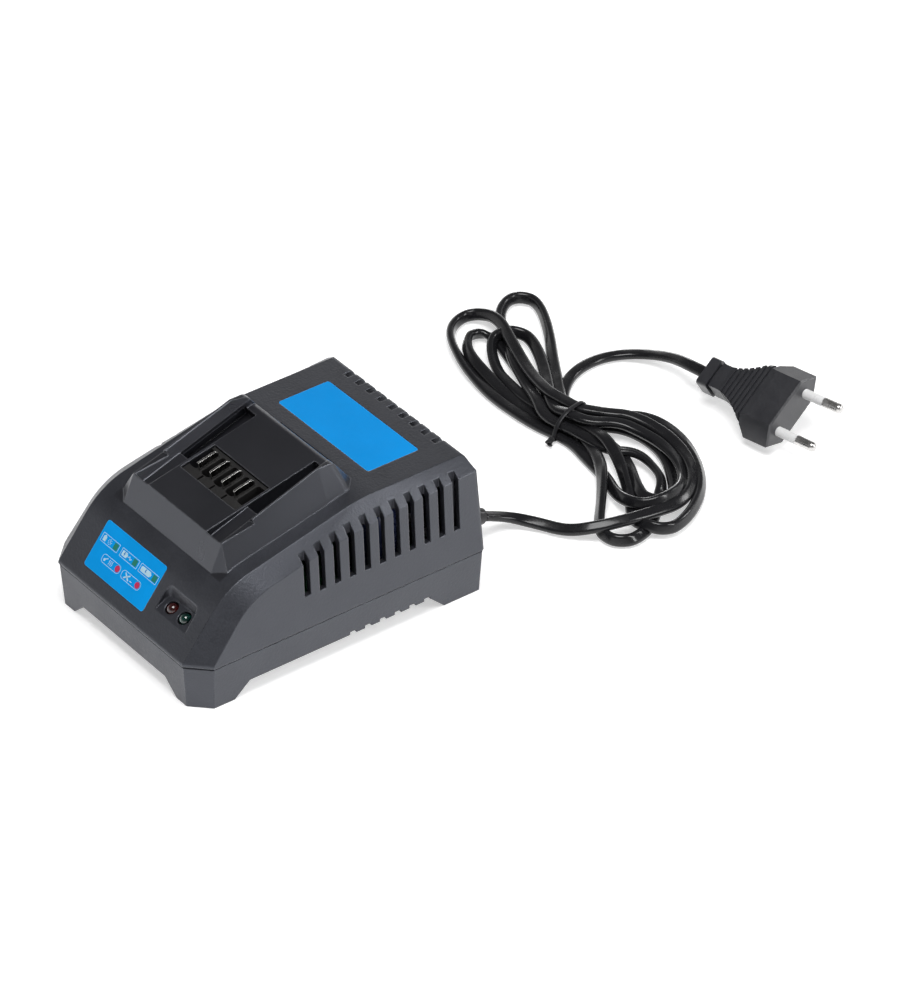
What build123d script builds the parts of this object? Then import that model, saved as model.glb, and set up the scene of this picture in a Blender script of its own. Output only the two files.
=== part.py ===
from build123d import *
import os
from math import atan2, cos, degrees, radians, sin, tan

# Battery charger for slide-on power tool packs, with its flat mains cord and two-pin plug.
# Millimetres. +Z is up, -Y is the front with the status label, the origin is on the floor
# under the middle of the case.

os.makedirs("parts", exist_ok=True)


def save(builder, name):
    """Label one finished piece and write it to its own file."""
    builder.part.label = name
    export_step(builder.part, f"parts/{name}.step")


# ---------------------------------------------------------------- case, driving sizes
body_width = 97.0  # across the sides at the parting line
body_depth = 132.0  # front to rear at the parting line
parting_height = 19.0  # where lower and upper case meet
roof_height = 59.6  # flat rear roof
shoulder_width = 8.3  # plan width of the sloping shoulder on each side
case_wall = 2.5
corner_cut = 8.3  # front corners, cut at 45 degrees
rear_corner_radius = 2.0
side_draft = 2.9  # degrees, sides of the upper case
rear_draft = 3.4  # degrees, rear of the upper case
base_draft = 3.9  # degrees, all sides of the lower case
front_lip = 1.0  # upright strip above the parting line
front_lip_radius = 1.6
# the next corners are placed (behind the front, below the flat roof)
front_knee_set = (20.2, 14.2)  # where the front panel meets the deck
deck_end_set = 80.0  # where the deck meets the flat roof
knee_radius = 32.0
deck_radius = 58.0
crease_knee_set = (26.0, 17.7)  # the same corner on the side crease
crease_bend_set = (71.4, 8.0)  # where the crease flattens out
crease_rear_drop = 4.6  # crease below the roof at the rear of the case
crease_knee_radius = 29.0
crease_bend_radius = 320.0
rear_break_set = 4.5  # rear edge of the flat roof, above a steep chamfer
shoulder_break = 1.0  # the same chamfer where it meets the side crease

# lower case
arch_height = 6.2  # floor plate above the table, between the feet
foot_length = 16.5  # foot along Y at the table
foot_width = 13.6  # foot along X at the table
foot_slope = 6.6  # run of the sloped foot face along the case
parting_reveal = 0.4  # lower case set back from the upper case
groove_height = 0.8  # shadow groove under the parting line
groove_depth = 0.9
tongue_height = 1.6  # lower case tongue inside the upper case
tongue_clearance = 0.15

# vents
vent_pitch = 6.81
vent_width = 2.9
side_vent_count = 11
side_vent_last_set = 12.9  # last side vent in front of the rear
side_vent_sill = 13.9  # foot of the side vents above the parting line
side_vent_bite = 4.9  # how far in the side vents run
rear_vent_count = 9
rear_vent_bite = 8.7  # how far in from the rear the rear vents run
rear_vent_drop = 10.6  # foot of the rear vents below the roof
base_vent_count = 6
base_vent_last_set = 26.35  # last base vent in front of the rear
base_vent_inner_x = 12.0
base_notch_height = 1.3

half_width = body_width / 2
half_depth = body_depth / 2
half_roof = half_width - shoulder_width
rear_slope = tan(radians(rear_draft))
front_knee = (front_knee_set[0] - half_depth, roof_height - front_knee_set[1])
deck_end_y = deck_end_set - half_depth
crease_knee = (crease_knee_set[0] - half_depth, roof_height - crease_knee_set[1])
crease_bend = (crease_bend_set[0] - half_depth, roof_height - crease_bend_set[1])
crease_rear_height = roof_height - crease_rear_drop
rear_break_y = half_depth - rear_break_set
side_vent_first_y = half_depth - side_vent_last_set - (side_vent_count - 1) * vent_pitch
side_vent_bottom = parting_height + side_vent_sill
side_vent_reach = half_width - side_vent_bite
rear_vent_start_y = half_depth - rear_vent_bite
rear_vent_bottom = roof_height - rear_vent_drop
base_vent_first_y = half_depth - base_vent_last_set - (base_vent_count - 1) * vent_pitch
rear_shoulder_y = half_depth - (crease_rear_height - parting_height) * rear_slope


def closed_profile(points, radii, inset):
    """Closed outline with rounded corners, moved inward by the inset."""
    with BuildSketch() as profile:
        with BuildLine():
            FilletPolyline(*points, radius=radii, close=True)
        make_face()
        if inset:
            offset(amount=-inset, kind=Kind.INTERSECTION)
    return profile.sketch


def roof_profile(inset=0.0):
    """Side view of the case between the shoulders, as (y, z)."""
    foot = parting_height - 2 * inset
    points = [
        (-half_depth, foot),
        (-half_depth, parting_height + front_lip),
        front_knee,
        (deck_end_y, roof_height),
        (rear_break_y, roof_height),
        (rear_shoulder_y, crease_rear_height),
        (half_depth + 2 * inset * rear_slope, foot),
    ]
    return closed_profile(points, [0, front_lip_radius, knee_radius, deck_radius, 0, 0, 0], inset)


def crease_profile(inset=0.0):
    """Outline of the side face below the shoulder, as (y, height over the parting line)."""
    front_y = corner_cut - half_depth
    rear_rise = crease_rear_height - parting_height
    points = [
        (front_y, -2 * inset),
        (front_y, front_lip),
        (crease_knee[0], crease_knee[1] - parting_height),
        (crease_bend[0], crease_bend[1] - parting_height),
        (rear_shoulder_y - shoulder_break, rear_rise),
        (rear_shoulder_y, rear_rise - shoulder_break),
        (half_depth + 2 * inset * rear_slope, -2 * inset),
    ]
    radii = [0, front_lip_radius, crease_knee_radius, crease_bend_radius, 0, 0, 0]
    return closed_profile(points, radii, inset)


def case_block(inset=0.0):
    """Solid of the upper case: a middle block and a shoulder block on each side."""
    middle = half_roof - inset / 2
    side_plane = Plane(
        origin=(half_width - inset, 0, parting_height),
        x_dir=(0, 1, 0),
        z_dir=(cos(radians(side_draft)), 0, sin(radians(side_draft))),
    )
    with BuildPart() as block:
        with BuildSketch(Plane.YZ.offset(middle)):
            add(roof_profile(inset))
        with BuildSketch(side_plane):
            add(crease_profile(inset))
        loft(ruled=True)
        mirror(about=Plane.YZ)
        with BuildSketch(Plane.YZ.offset(-middle)):
            add(roof_profile(inset))
        extrude(amount=2 * middle)
    return block.part


# ---------------------------------------------------------------- dock, driving sizes
dock_half_width = 28.0  # crest of the side rails
dock_skirt_half = 33.5  # foot of the dock's sloping sides
dock_front_set = (27.0, 4.1)  # front edge of its floor: behind the case front, below the roof
dock_front_wall = (4.8, 10.7)  # run and drop of the front wall
dock_crest_start = 43.6  # where the rail crest turns level, behind the dock's front edge
dock_crest_end = 50.0
dock_rear_foot = 58.2
dock_rise = 10.6  # rail crest above the roof
dock_floor_angle = 12.2  # degrees
dock_crest_radii = (4.0, 3.0)
dock_ridge_radius = 3.0
dock_gap = (34.0, 0.6, 0.5)  # shallow groove behind the dock
entry_length = 14.1  # the rails are cut down to the floor over this length
rail_land = 0.8  # flat top of the rail crest
rail_lip_half = 24.5  # inner edge of the rails
rail_lip_drop = 3.0  # lip below the crest
rail_lip_thickness = 1.7
channel_inner_half = 18.5
channel_outer_half = 26.6
channel_depth = 9.6  # below the crest line
channel_start = 17.5  # behind the dock's front edge
channel_end = 47.0
dock_hollow_half = 16.0

dock_front = (dock_front_set[0] - half_depth, roof_height - dock_front_set[1])
dock_front_foot = (dock_front[0] - dock_front_wall[0], dock_front[1] - dock_front_wall[1])
dock_crest_start_y = dock_front[0] + dock_crest_start
dock_crest_end_y = dock_front[0] + dock_crest_end
dock_crest_height = roof_height + dock_rise
dock_rear_foot_y = dock_front[0] + dock_rear_foot
entry_end_y = dock_front[0] + entry_length
channel_start_y = dock_front[0] + channel_start
channel_end_y = dock_front[0] + channel_end
floor_slope = tan(radians(dock_floor_angle))
crest_angle = degrees(
    atan2(dock_crest_height - dock_front[1], dock_crest_start_y - dock_front[0])
)
rear_run = (dock_rear_foot_y - dock_crest_end_y) / (dock_crest_height - roof_height)
ridge_y = (
    dock_crest_end_y
    + rear_run * (dock_crest_height - dock_front[1] + floor_slope * dock_front[0])
) / (1 + rear_run * floor_slope)


def floor_height(y):
    """Height of the dock floor."""
    return dock_front[1] + (y - dock_front[0]) * floor_slope


floor_plane = Plane(
    origin=(0, dock_front[0], dock_front[1]),
    x_dir=(1, 0, 0),
    z_dir=(0, -sin(radians(dock_floor_angle)), cos(radians(dock_floor_angle))),
)
# cross-section of the rails: x across (mirrored), y square to the crest, z along the crest
rail_plane = Plane(
    origin=(0, dock_front[0], dock_front[1]),
    x_dir=(-1, 0, 0),
    z_dir=(0, cos(radians(crest_angle)), sin(radians(crest_angle))),
)


def along_floor(y):
    """Distance up the dock floor from its front edge."""
    return (y - dock_front[0]) / cos(radians(dock_floor_angle))


def along_crest(y):
    """Distance up the rail crest from the front edge of the dock."""
    return (y - dock_front[0]) / cos(radians(crest_angle))


dock_sunk = 10.0  # how far the dock's outlines reach below the roof
dock_front_base = (
    dock_front_foot[0] - (dock_front[0] - dock_front_foot[0]) / 2,
    dock_front_foot[1] - (dock_front[1] - dock_front_foot[1]) / 2,
)
dock_rear_base = (dock_rear_foot_y + rear_run * dock_sunk, roof_height - dock_sunk)


def dock_profile():
    """Side view of the dock at the rail crests, as (y, z)."""
    points = [
        dock_front_base,
        dock_front,
        (dock_crest_start_y, dock_crest_height),
        (dock_crest_end_y, dock_crest_height),
        dock_rear_base,
    ]
    return closed_profile(points, [0, 0, *dock_crest_radii, 0], 0)


def dock_core_profile(inset):
    """Side view of the dock under its floor, moved inward by the inset."""
    points = [dock_front_base, dock_front, (ridge_y, floor_height(ridge_y)), dock_rear_base]
    return closed_profile(points, [0, 0, 0, 0], inset)


def skirt_profile():
    """Side view of the dock at the foot of its sloping sides, just under the roof."""
    points = [
        (dock_front_foot[0] + 0.8, dock_front_base[1]),
        (dock_front[0] - 1.5, dock_front_foot[1] + 1.2),
        (dock_crest_start_y, roof_height - 2.0),
        (dock_crest_end_y + 3.5, roof_height - 0.6),
        (dock_rear_foot_y + 3.0, dock_rear_base[1]),
    ]
    return closed_profile(points, [0, 0, *dock_crest_radii, 0], 0)


# ---------------------------------------------------------------- terminals, driving sizes
terminal_set = 21.4  # middle of the terminal opening, behind the dock's front edge
terminal_length = 15.8  # along the floor slope
terminal_width = 34.6
terminal_depth = 12.0
terminal_sink = 0.8  # block top below the dock floor
terminal_clearance = 0.25
terminal_flange = (31.0, 19.8, 2.0)
blade_pitch = 7.55
blade_count = 4
blade_thickness = 0.9
blade_length = 9.2
blade_rise = 2.7  # above the dock floor
blade_tail = 4.5  # solder tail below the block
blade_slot_clearance = 0.05
terminal_y = dock_front[0] + terminal_set
blade_xs = [(i - (blade_count - 1) / 2) * blade_pitch for i in range(blade_count)]

# ---------------------------------------------------------------- labels and lights
label_depth = 0.3
label_radius = 1.2
top_label_width = 56.6
top_label_margins = (7.5, 7.2)  # behind the dock, in front of the rear vents
status_label_size = (38.0, 19.3)
status_label_gap = 4.7  # between the label and the pocket of the lights
status_label_set = 9.4  # middle of the label behind the case front
light_diameter = 5.0
light_flange_diameter = 5.8
light_flange_height = 1.0
light_length = 8.6  # flange to the top of the dome
light_proud = 1.2  # dome above the pocket floor
light_hole_clearance = 0.35
light_pitch = 8.0
light_set = (5.5, 3.8)  # first light from the corner of the pocket
light_floor_angle = 28.0  # slope of the pocket floor, degrees
pocket_set = (15.1, 6.0)  # pocket in from the side and the front of the case
pocket_size = (18.9, 6.8)
pocket_radius = 2.5
light_board_margin = 1.55  # board beyond the posts
light_board_length = 8.0
light_board_thickness = 1.0
light_post_diameter = 3.4
light_post_sets = (0.9, 0.1)  # posts from the left and right ends of the pocket

top_label_front = dock_rear_foot_y + top_label_margins[0]
top_label_rear = rear_vent_start_y - top_label_margins[1]
top_label_size = (top_label_width, top_label_rear - top_label_front)
top_label_y = (top_label_front + top_label_rear) / 2
pocket_x = (half_width - pocket_set[0] - pocket_size[0], half_width - pocket_set[0])
pocket_front_y = pocket_set[1] - half_depth
pocket_rear_y = pocket_front_y + pocket_size[1]
light_xs = (pocket_x[0] + light_set[0], pocket_x[0] + light_set[0] + light_pitch)
light_y = pocket_front_y + light_set[1]
light_post_x = (pocket_x[0] + light_post_sets[0], pocket_x[1] + light_post_sets[1])
light_board_width = light_post_x[1] - light_post_x[0] + 2 * light_board_margin
status_label_x = pocket_x[0] - status_label_gap - status_label_size[0] / 2
status_label_y = status_label_set - half_depth

front_angle = degrees(
    atan2(front_knee[1] - parting_height - front_lip, front_knee[0] + half_depth)
)


def front_height(y):
    """Height of the sloping front panel."""
    return parting_height + front_lip + (y + half_depth) * tan(radians(front_angle))


status_plane = Plane(
    origin=(status_label_x, status_label_y, front_height(status_label_y)),
    x_dir=(1, 0, 0),
    z_dir=(0, -sin(radians(front_angle)), cos(radians(front_angle))),
)
light_plane = Plane(
    origin=(0, pocket_front_y, front_height(pocket_front_y)),
    x_dir=(1, 0, 0),
    z_dir=(0, -sin(radians(light_floor_angle)), cos(radians(light_floor_angle))),
)
light_reach = (light_y - pocket_front_y) / cos(radians(light_floor_angle))
light_places = [(x, light_reach) for x in light_xs]
light_board_drop = light_length - light_proud  # board top below the pocket floor

# ---------------------------------------------------------------- case screws
screw_diameter = 2.9
screw_head_diameter = 5.6
screw_head_height = 2.0
screw_well_diameter = 6.6
screw_well_depth = 9.0
screw_boss_diameter = 8.6
screw_tower_diameter = 7.4
screw_bite = 10.0
screw_clearance = 0.1
screw_side_set = 9.3  # from the sides of the case
screw_front_set = 10.7
screw_rear_set = 9.4
screw_x = half_width - screw_side_set
screw_ys = (screw_front_set - half_depth, half_depth - screw_rear_set)
screw_places = [(side * screw_x, y) for side in (-1, 1) for y in screw_ys]
screw_joint = parting_height - case_wall / 2  # lower bosses meet the upper towers

# ---------------------------------------------------------------- upper case
with BuildPart() as towers:
    with BuildSketch(Plane.XY.offset(screw_joint)):
        with Locations(*screw_places):
            Circle(screw_tower_diameter / 2)
    extrude(amount=roof_height)
    add(case_block(case_wall / 2), mode=Mode.INTERSECT)

pocket_width, pocket_run = pocket_size
with BuildPart() as pocket:
    with BuildSketch() as pocket_outline:
        with Locations(((pocket_x[0] + pocket_x[1]) / 2, pocket_front_y)):
            Rectangle(pocket_width, 2 * pocket_run)
        fillet(pocket_outline.vertices(), radius=pocket_radius)
    extrude(amount=roof_height)
    split(bisect_by=light_plane, keep=Keep.TOP)

with BuildPart() as pocket_shell:
    with BuildSketch() as shell_outline:
        with Locations(((pocket_x[0] + pocket_x[1]) / 2, pocket_front_y)):
            Rectangle(pocket_width + 2 * case_wall, 2 * (pocket_run + case_wall))
    extrude(amount=roof_height)
    split(bisect_by=light_plane.offset(-case_wall), keep=Keep.TOP)
    add(case_block(case_wall / 2), mode=Mode.INTERSECT)

with BuildPart() as upper_case:
    add(case_block())
    uprights = upper_case.edges().filter_by(
        lambda edge: edge.length > crease_rear_height / 2 and abs(edge.center().X) > half_roof + 1
    )
    fillet(uprights.group_by(Axis.Y)[-1], radius=rear_corner_radius)
    rear_breaks = upper_case.edges().filter_by(GeomType.LINE).filter_by(
        lambda edge: edge.center().Y > rear_break_y - 1 and edge.center().Z > crease_rear_height - 1
    )
    fillet(rear_breaks, radius=rear_corner_radius)

    # dock: a middle block and a sloping side block on each side
    for side in (-1, 1):
        with BuildSketch(Plane.YZ.offset(side * dock_half_width)):
            add(dock_profile())
        with BuildSketch(Plane.YZ.offset(side * dock_skirt_half)):
            add(skirt_profile())
        loft(ruled=True)
    with BuildSketch(Plane.YZ.offset(-dock_half_width)):
        add(dock_profile())
    extrude(amount=2 * dock_half_width)

    # dock floor: full width at the entry, between the rail lips behind it
    with BuildSketch(floor_plane):
        Rectangle(2 * half_width, along_floor(entry_end_y), align=(Align.CENTER, Align.MIN))
        Rectangle(2 * rail_lip_half, half_depth, align=(Align.CENTER, Align.MIN))
    extrude(amount=roof_height / 2, mode=Mode.SUBTRACT)
    ridge = upper_case.edges().sort_by_distance((0, ridge_y, floor_height(ridge_y)))[0]
    fillet(ridge, radius=dock_ridge_radius)

    # inner slope of the rail crests
    with BuildSketch(rail_plane):
        for side in (-1, 1):
            with BuildLine():
                Polyline(
                    (side * (dock_half_width - rail_land), 0),
                    (side * rail_lip_half, -rail_lip_drop),
                    (side * channel_inner_half, -rail_lip_drop),
                    (side * channel_inner_half, rail_lip_drop),
                    (side * (dock_half_width - rail_land), rail_lip_drop),
                    close=True,
                )
            make_face()
    extrude(amount=along_crest(dock_crest_end_y), mode=Mode.SUBTRACT)

    # hollow inside, then the screw towers and the pocket for the lights
    add(case_block(case_wall), mode=Mode.SUBTRACT)
    with BuildSketch(Plane.YZ.offset(-dock_hollow_half)):
        add(dock_core_profile(case_wall))
    extrude(amount=2 * dock_hollow_half, mode=Mode.SUBTRACT)
    add(towers.part)
    add(pocket_shell.part)
    add(pocket.part, mode=Mode.SUBTRACT)

    # channels under the rail lips for the hooks of the pack
    with BuildSketch(rail_plane.offset(along_crest(channel_start_y))):
        for side in (-1, 1):
            with BuildLine():
                Polyline(
                    (side * channel_inner_half, -channel_depth),
                    (side * channel_outer_half, -channel_depth),
                    (side * channel_outer_half, -rail_lip_drop - rail_lip_thickness),
                    (side * rail_lip_half, -rail_lip_drop - rail_lip_thickness),
                    (side * rail_lip_half, rail_lip_drop),
                    (side * channel_inner_half, rail_lip_drop),
                    close=True,
                )
            make_face()
    extrude(amount=along_crest(channel_end_y) - along_crest(channel_start_y), mode=Mode.SUBTRACT)

    # terminal opening
    with BuildSketch(floor_plane):
        with Locations((0, along_floor(terminal_y))):
            Rectangle(terminal_width, terminal_length)
    extrude(amount=-(terminal_depth + blade_tail + case_wall), mode=Mode.SUBTRACT)

    # groove behind the dock and the label recesses
    with BuildSketch(Plane.XY.offset(roof_height)):
        with Locations((0, dock_rear_foot_y + dock_gap[1] / 2)):
            Rectangle(dock_gap[0], dock_gap[1])
    extrude(amount=-dock_gap[2], mode=Mode.SUBTRACT)
    with BuildSketch(Plane.XY.offset(roof_height)):
        with Locations((0, top_label_y)):
            RectangleRounded(*top_label_size, label_radius)
    extrude(amount=-label_depth, mode=Mode.SUBTRACT)
    with BuildSketch(status_plane):
        RectangleRounded(*status_label_size, label_radius)
    extrude(amount=-label_depth, mode=Mode.SUBTRACT)

    # posts and holes for the lights
    with BuildSketch(light_plane.offset(-light_board_drop)):
        with Locations(*[(x, light_reach) for x in light_post_x]):
            Circle(light_post_diameter / 2)
    extrude(amount=light_board_drop - case_wall / 2)
    with BuildSketch(light_plane):
        with Locations(*light_places):
            Circle(light_diameter / 2 + light_hole_clearance)
    extrude(amount=-light_board_drop, mode=Mode.SUBTRACT)

    # side vents wrap from the side over the shoulder
    vent_height = roof_height - side_vent_bottom
    with BuildSketch(Plane.YZ.offset(side_vent_reach)) as side_vents:
        for i in range(side_vent_count):
            with Locations((side_vent_first_y + i * vent_pitch, side_vent_bottom)):
                Rectangle(vent_width, vent_height, align=(Align.CENTER, Align.MIN))
    extrude(amount=half_width, mode=Mode.SUBTRACT)
    with BuildSketch(Plane.YZ.offset(-side_vent_reach)):
        add(side_vents.sketch_local)
    extrude(amount=-half_width, mode=Mode.SUBTRACT)

    # rear vents wrap from the roof over the rear edge
    with BuildSketch(Plane.XY.offset(rear_vent_bottom)):
        for i in range(rear_vent_count):
            with Locations(((i - (rear_vent_count - 1) / 2) * vent_pitch, rear_vent_start_y)):
                Rectangle(vent_width, half_depth, align=(Align.CENTER, Align.MIN))
    extrude(amount=roof_height, mode=Mode.SUBTRACT)

    # pilot holes for the case screws
    with BuildSketch(Plane.XY.offset(screw_joint)):
        with Locations(*screw_places):
            Circle(screw_diameter / 2 + screw_clearance)
    extrude(amount=screw_bite + 1, mode=Mode.SUBTRACT)
save(upper_case, "upper_case")

# ---------------------------------------------------------------- lower case
floor_top = arch_height + case_wall
base_taper = tan(radians(base_draft))
board_post_height = 3.3  # above the floor plate
board_gaps = (10.5, 20.0, 16.0)  # circuit board to the sides, front and rear of the case
board_thickness = 1.6
board_post_diameter = 6.5
board_post_inset = 5.0  # posts from the edges of the board
board_screw_diameter = 2.2
board_screw_head = (4.2, 1.6)  # diameter, height
board_screw_length = 5.0
board_screw_tip = 0.8  # screw tips short of the bottom of their holes

board_height = floor_top + board_post_height
board_top = board_height + board_thickness
board_right = half_width - board_gaps[0]
board_front = board_gaps[1] - half_depth
board_rear = half_depth - board_gaps[2]
board_y = (board_front + board_rear) / 2
board_post_places = [
    (x, y)
    for x in (board_post_inset - board_right, board_right - board_post_inset)
    for y in (board_front + board_post_inset, board_rear - board_post_inset)
]

cord_exit_x = 20.0
cord_exit_lift = 4.9  # middle of the cord above the floor plate
cord_exit_z = floor_top + cord_exit_lift
grommet_diameter = 6.4  # barrel through the rear wall
grommet_flange = (8.8, 1.6)  # diameter, thickness, inside the wall
grommet_collar = (10.0, 2.0)  # diameter, thickness, outside the wall
grommet_clearance = 0.05
exit_plane = Plane(  # on the outer face of the rear wall, square to it
    origin=(
        cord_exit_x,
        half_depth - parting_reveal - (parting_height - cord_exit_z) * base_taper,
        cord_exit_z,
    ),
    x_dir=(1, 0, 0),
    z_dir=(0, cos(radians(base_draft)), -sin(radians(base_draft))),
)

cord_width = 5.0  # flat twin cord
cord_thickness = 3.1
cord_radius = 1.5  # rounded edges of the section
clamp_set = 10.4  # in front of the rear
clamp_size = (18.0, 5.0, 2.2)  # across the cord, along it, thickness of the bar
clamp_lift = 0.4  # how far the cord rises from the exit to the clamp
clamp_screw_offset = 5.9
clamp_y = half_depth - clamp_set
clamp_base = cord_exit_z + cord_thickness / 2 + clamp_lift  # underside of the clamp bar
clamp_screw_places = [(cord_exit_x + side * clamp_screw_offset, clamp_y) for side in (-1, 1)]


def base_outline(inset):
    """Plan of the lower case at the parting line."""
    with BuildSketch() as outline:
        Rectangle(body_width - 2 * inset, body_depth - 2 * inset)
        corners = outline.vertices().group_by(Axis.Y)
        chamfer(corners[0], length=corner_cut - inset * (2 - 2**0.5))
        fillet(corners[-1], radius=max(rear_corner_radius - inset, 0.5))
    return outline.sketch


def feet_gap(span, run):
    """Outline of the space between two feet, from the table to the floor plate."""
    with BuildSketch() as gap:
        with BuildLine():
            Polyline(
                (-span / 2, -1),
                (-span / 2, 0),
                (-span / 2 + run, arch_height),
                (span / 2 - run, arch_height),
                (span / 2, 0),
                (span / 2, -1),
                close=True,
            )
        make_face()
    return gap.sketch


tongue_inset = case_wall + tongue_clearance
with BuildPart() as tongue:
    with BuildSketch(Plane.XY.offset(parting_height - groove_height)):
        add(base_outline(tongue_inset))
        add(base_outline(tongue_inset + case_wall / 2), mode=Mode.SUBTRACT)
    extrude(amount=groove_height + tongue_height)
    add(case_block(tongue_inset), mode=Mode.INTERSECT)

with BuildPart() as lower_case:
    with BuildSketch(Plane.XY.offset(parting_height)):
        add(base_outline(parting_reveal))
    extrude(amount=-parting_height, taper=base_draft)
    with BuildSketch(Plane.XY.offset(parting_height)):
        add(base_outline(parting_reveal + case_wall))
    extrude(amount=floor_top - parting_height, taper=base_draft, mode=Mode.SUBTRACT)

    # tongue that locates the upper case, and the shadow groove under the parting line
    add(tongue.part)
    with BuildSketch(Plane.XY.offset(parting_height)):
        add(base_outline(-case_wall))
        add(base_outline(parting_reveal + groove_depth), mode=Mode.SUBTRACT)
    extrude(amount=-groove_height, mode=Mode.SUBTRACT)

    # arches between the feet
    base_length = body_depth - 2 * (parting_reveal + parting_height * base_taper)
    base_breadth = body_width - 2 * (parting_reveal + parting_height * base_taper)
    with BuildSketch(Plane.YZ.offset(-half_width)):
        add(feet_gap(base_length - 2 * foot_length, foot_slope))
    extrude(amount=body_width, mode=Mode.SUBTRACT)
    with BuildSketch(Plane.XZ.offset(-half_depth)):
        add(feet_gap(base_breadth - 2 * foot_width, foot_slope))
    extrude(amount=body_depth, mode=Mode.SUBTRACT)

    # bosses for the case screws, each over a deep well in the foot
    with BuildSketch(Plane.XY.offset(arch_height)):
        with Locations(*screw_places):
            Circle(screw_boss_diameter / 2)
    extrude(amount=screw_joint - arch_height)
    with BuildSketch():
        with Locations(*screw_places):
            Circle(screw_well_diameter / 2)
    extrude(amount=screw_well_depth, mode=Mode.SUBTRACT)
    with BuildSketch():
        with Locations(*screw_places):
            Circle(screw_diameter / 2 + screw_clearance)
    extrude(amount=screw_joint, mode=Mode.SUBTRACT)

    # posts under the circuit board
    with BuildSketch(Plane.XY.offset(arch_height)):
        with Locations(*board_post_places):
            Circle(board_post_diameter / 2)
    extrude(amount=board_height - arch_height)
    with BuildSketch(Plane.XY.offset(board_height)):
        with Locations(*board_post_places):
            Circle(board_screw_diameter / 2 + screw_clearance)
    extrude(amount=-board_screw_length, mode=Mode.SUBTRACT)

    # vents in the floor plate, running out over its side edges as shallow notches
    for side in (-1, 1):
        with BuildSketch(Plane.YZ.offset(side * base_vent_inner_x)) as base_vents:
            for i in range(base_vent_count):
                with Locations((base_vent_first_y + i * vent_pitch, arch_height)):
                    Rectangle(vent_width, 2 * case_wall + 1)
        extrude(
            amount=side * (half_width - 3 * case_wall - base_vent_inner_x), mode=Mode.SUBTRACT
        )
        with BuildSketch(Plane.YZ.offset(side * base_vent_inner_x)):
            for i in range(base_vent_count):
                with Locations((base_vent_first_y + i * vent_pitch, arch_height)):
                    Rectangle(vent_width, 2 * base_notch_height)
        extrude(amount=side * half_width, mode=Mode.SUBTRACT)

    # hole for the cord grommet
    with BuildSketch(exit_plane):
        Circle(grommet_diameter / 2 + grommet_clearance)
    extrude(amount=case_wall, both=True, mode=Mode.SUBTRACT)

    # cradle for the cord inside the rear wall
    with BuildSketch(Plane.XY.offset(arch_height)):
        with Locations((cord_exit_x, clamp_y)):
            Rectangle(clamp_size[0], clamp_size[1])
    extrude(amount=clamp_base - arch_height)
    with BuildSketch(Plane.XZ.offset(-clamp_y)):
        with Locations((cord_exit_x, clamp_base)):
            Rectangle(cord_width, 2 * cord_thickness)
    extrude(amount=clamp_size[1], both=True, mode=Mode.SUBTRACT)
    with BuildSketch(Plane.XY.offset(clamp_base)):
        with Locations(*clamp_screw_places):
            Circle(board_screw_diameter / 2 + screw_clearance)
    extrude(amount=-board_screw_length, mode=Mode.SUBTRACT)
save(lower_case, "lower_case")

with BuildPart() as case_screws:
    with BuildSketch(Plane.XY.offset(screw_well_depth)):
        with Locations(*screw_places):
            Circle(screw_diameter / 2)
    extrude(amount=screw_joint + screw_bite - screw_well_depth)
    with BuildSketch(Plane.XY.offset(screw_well_depth)):
        with Locations(*screw_places):
            Circle(screw_head_diameter / 2)
    extrude(amount=-screw_head_height)
    rims = case_screws.edges().filter_by(GeomType.CIRCLE).group_by(Axis.Z)[0]
    fillet(rims, radius=screw_head_height / 3)
    with BuildSketch(Plane.XY.offset(screw_well_depth - screw_head_height)):
        with Locations(*screw_places):
            Rectangle(screw_diameter, screw_head_height / 3)
            Rectangle(screw_head_height / 3, screw_diameter)
    extrude(amount=screw_head_height / 2, mode=Mode.SUBTRACT)
save(case_screws, "case_screws")

# ---------------------------------------------------------------- labels
with BuildPart() as top_label:
    with BuildSketch(Plane.XY.offset(roof_height - label_depth)):
        with Locations((0, top_label_y)):
            RectangleRounded(*top_label_size, label_radius)
    extrude(amount=label_depth)
save(top_label, "top_label")

with BuildPart() as status_label:
    with BuildSketch(status_plane.offset(-label_depth)):
        RectangleRounded(*status_label_size, label_radius)
    extrude(amount=label_depth)
save(status_label, "status_label")

# ---------------------------------------------------------------- indicator lights
for name, x in zip(("red_light", "green_light"), light_xs):
    axis_plane = Plane(
        origin=light_plane.offset(-light_board_drop).from_local_coords((x, light_reach, 0)),
        x_dir=(1, 0, 0),
        z_dir=light_plane.x_dir.cross(light_plane.z_dir),
    )
    radius = light_diameter / 2
    with BuildPart() as light:
        with BuildSketch(axis_plane):
            with BuildLine():
                Polyline(
                    (0, 0),
                    (light_flange_diameter / 2, 0),
                    (light_flange_diameter / 2, light_flange_height),
                    (radius, light_flange_height),
                    (radius, light_length - radius),
                )
                RadiusArc((radius, light_length - radius), (0, light_length), -radius)
                Line((0, light_length), (0, 0))
            make_face()
        revolve(axis=Axis(axis_plane.origin, light_plane.z_dir))
    save(light, name)

with BuildPart() as light_board:
    with BuildSketch(light_plane.offset(-light_board_drop)):
        with Locations(((light_post_x[0] + light_post_x[1]) / 2, light_reach)):
            Rectangle(light_board_width, light_board_length)
    extrude(amount=-light_board_thickness)
save(light_board, "light_board")

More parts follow.
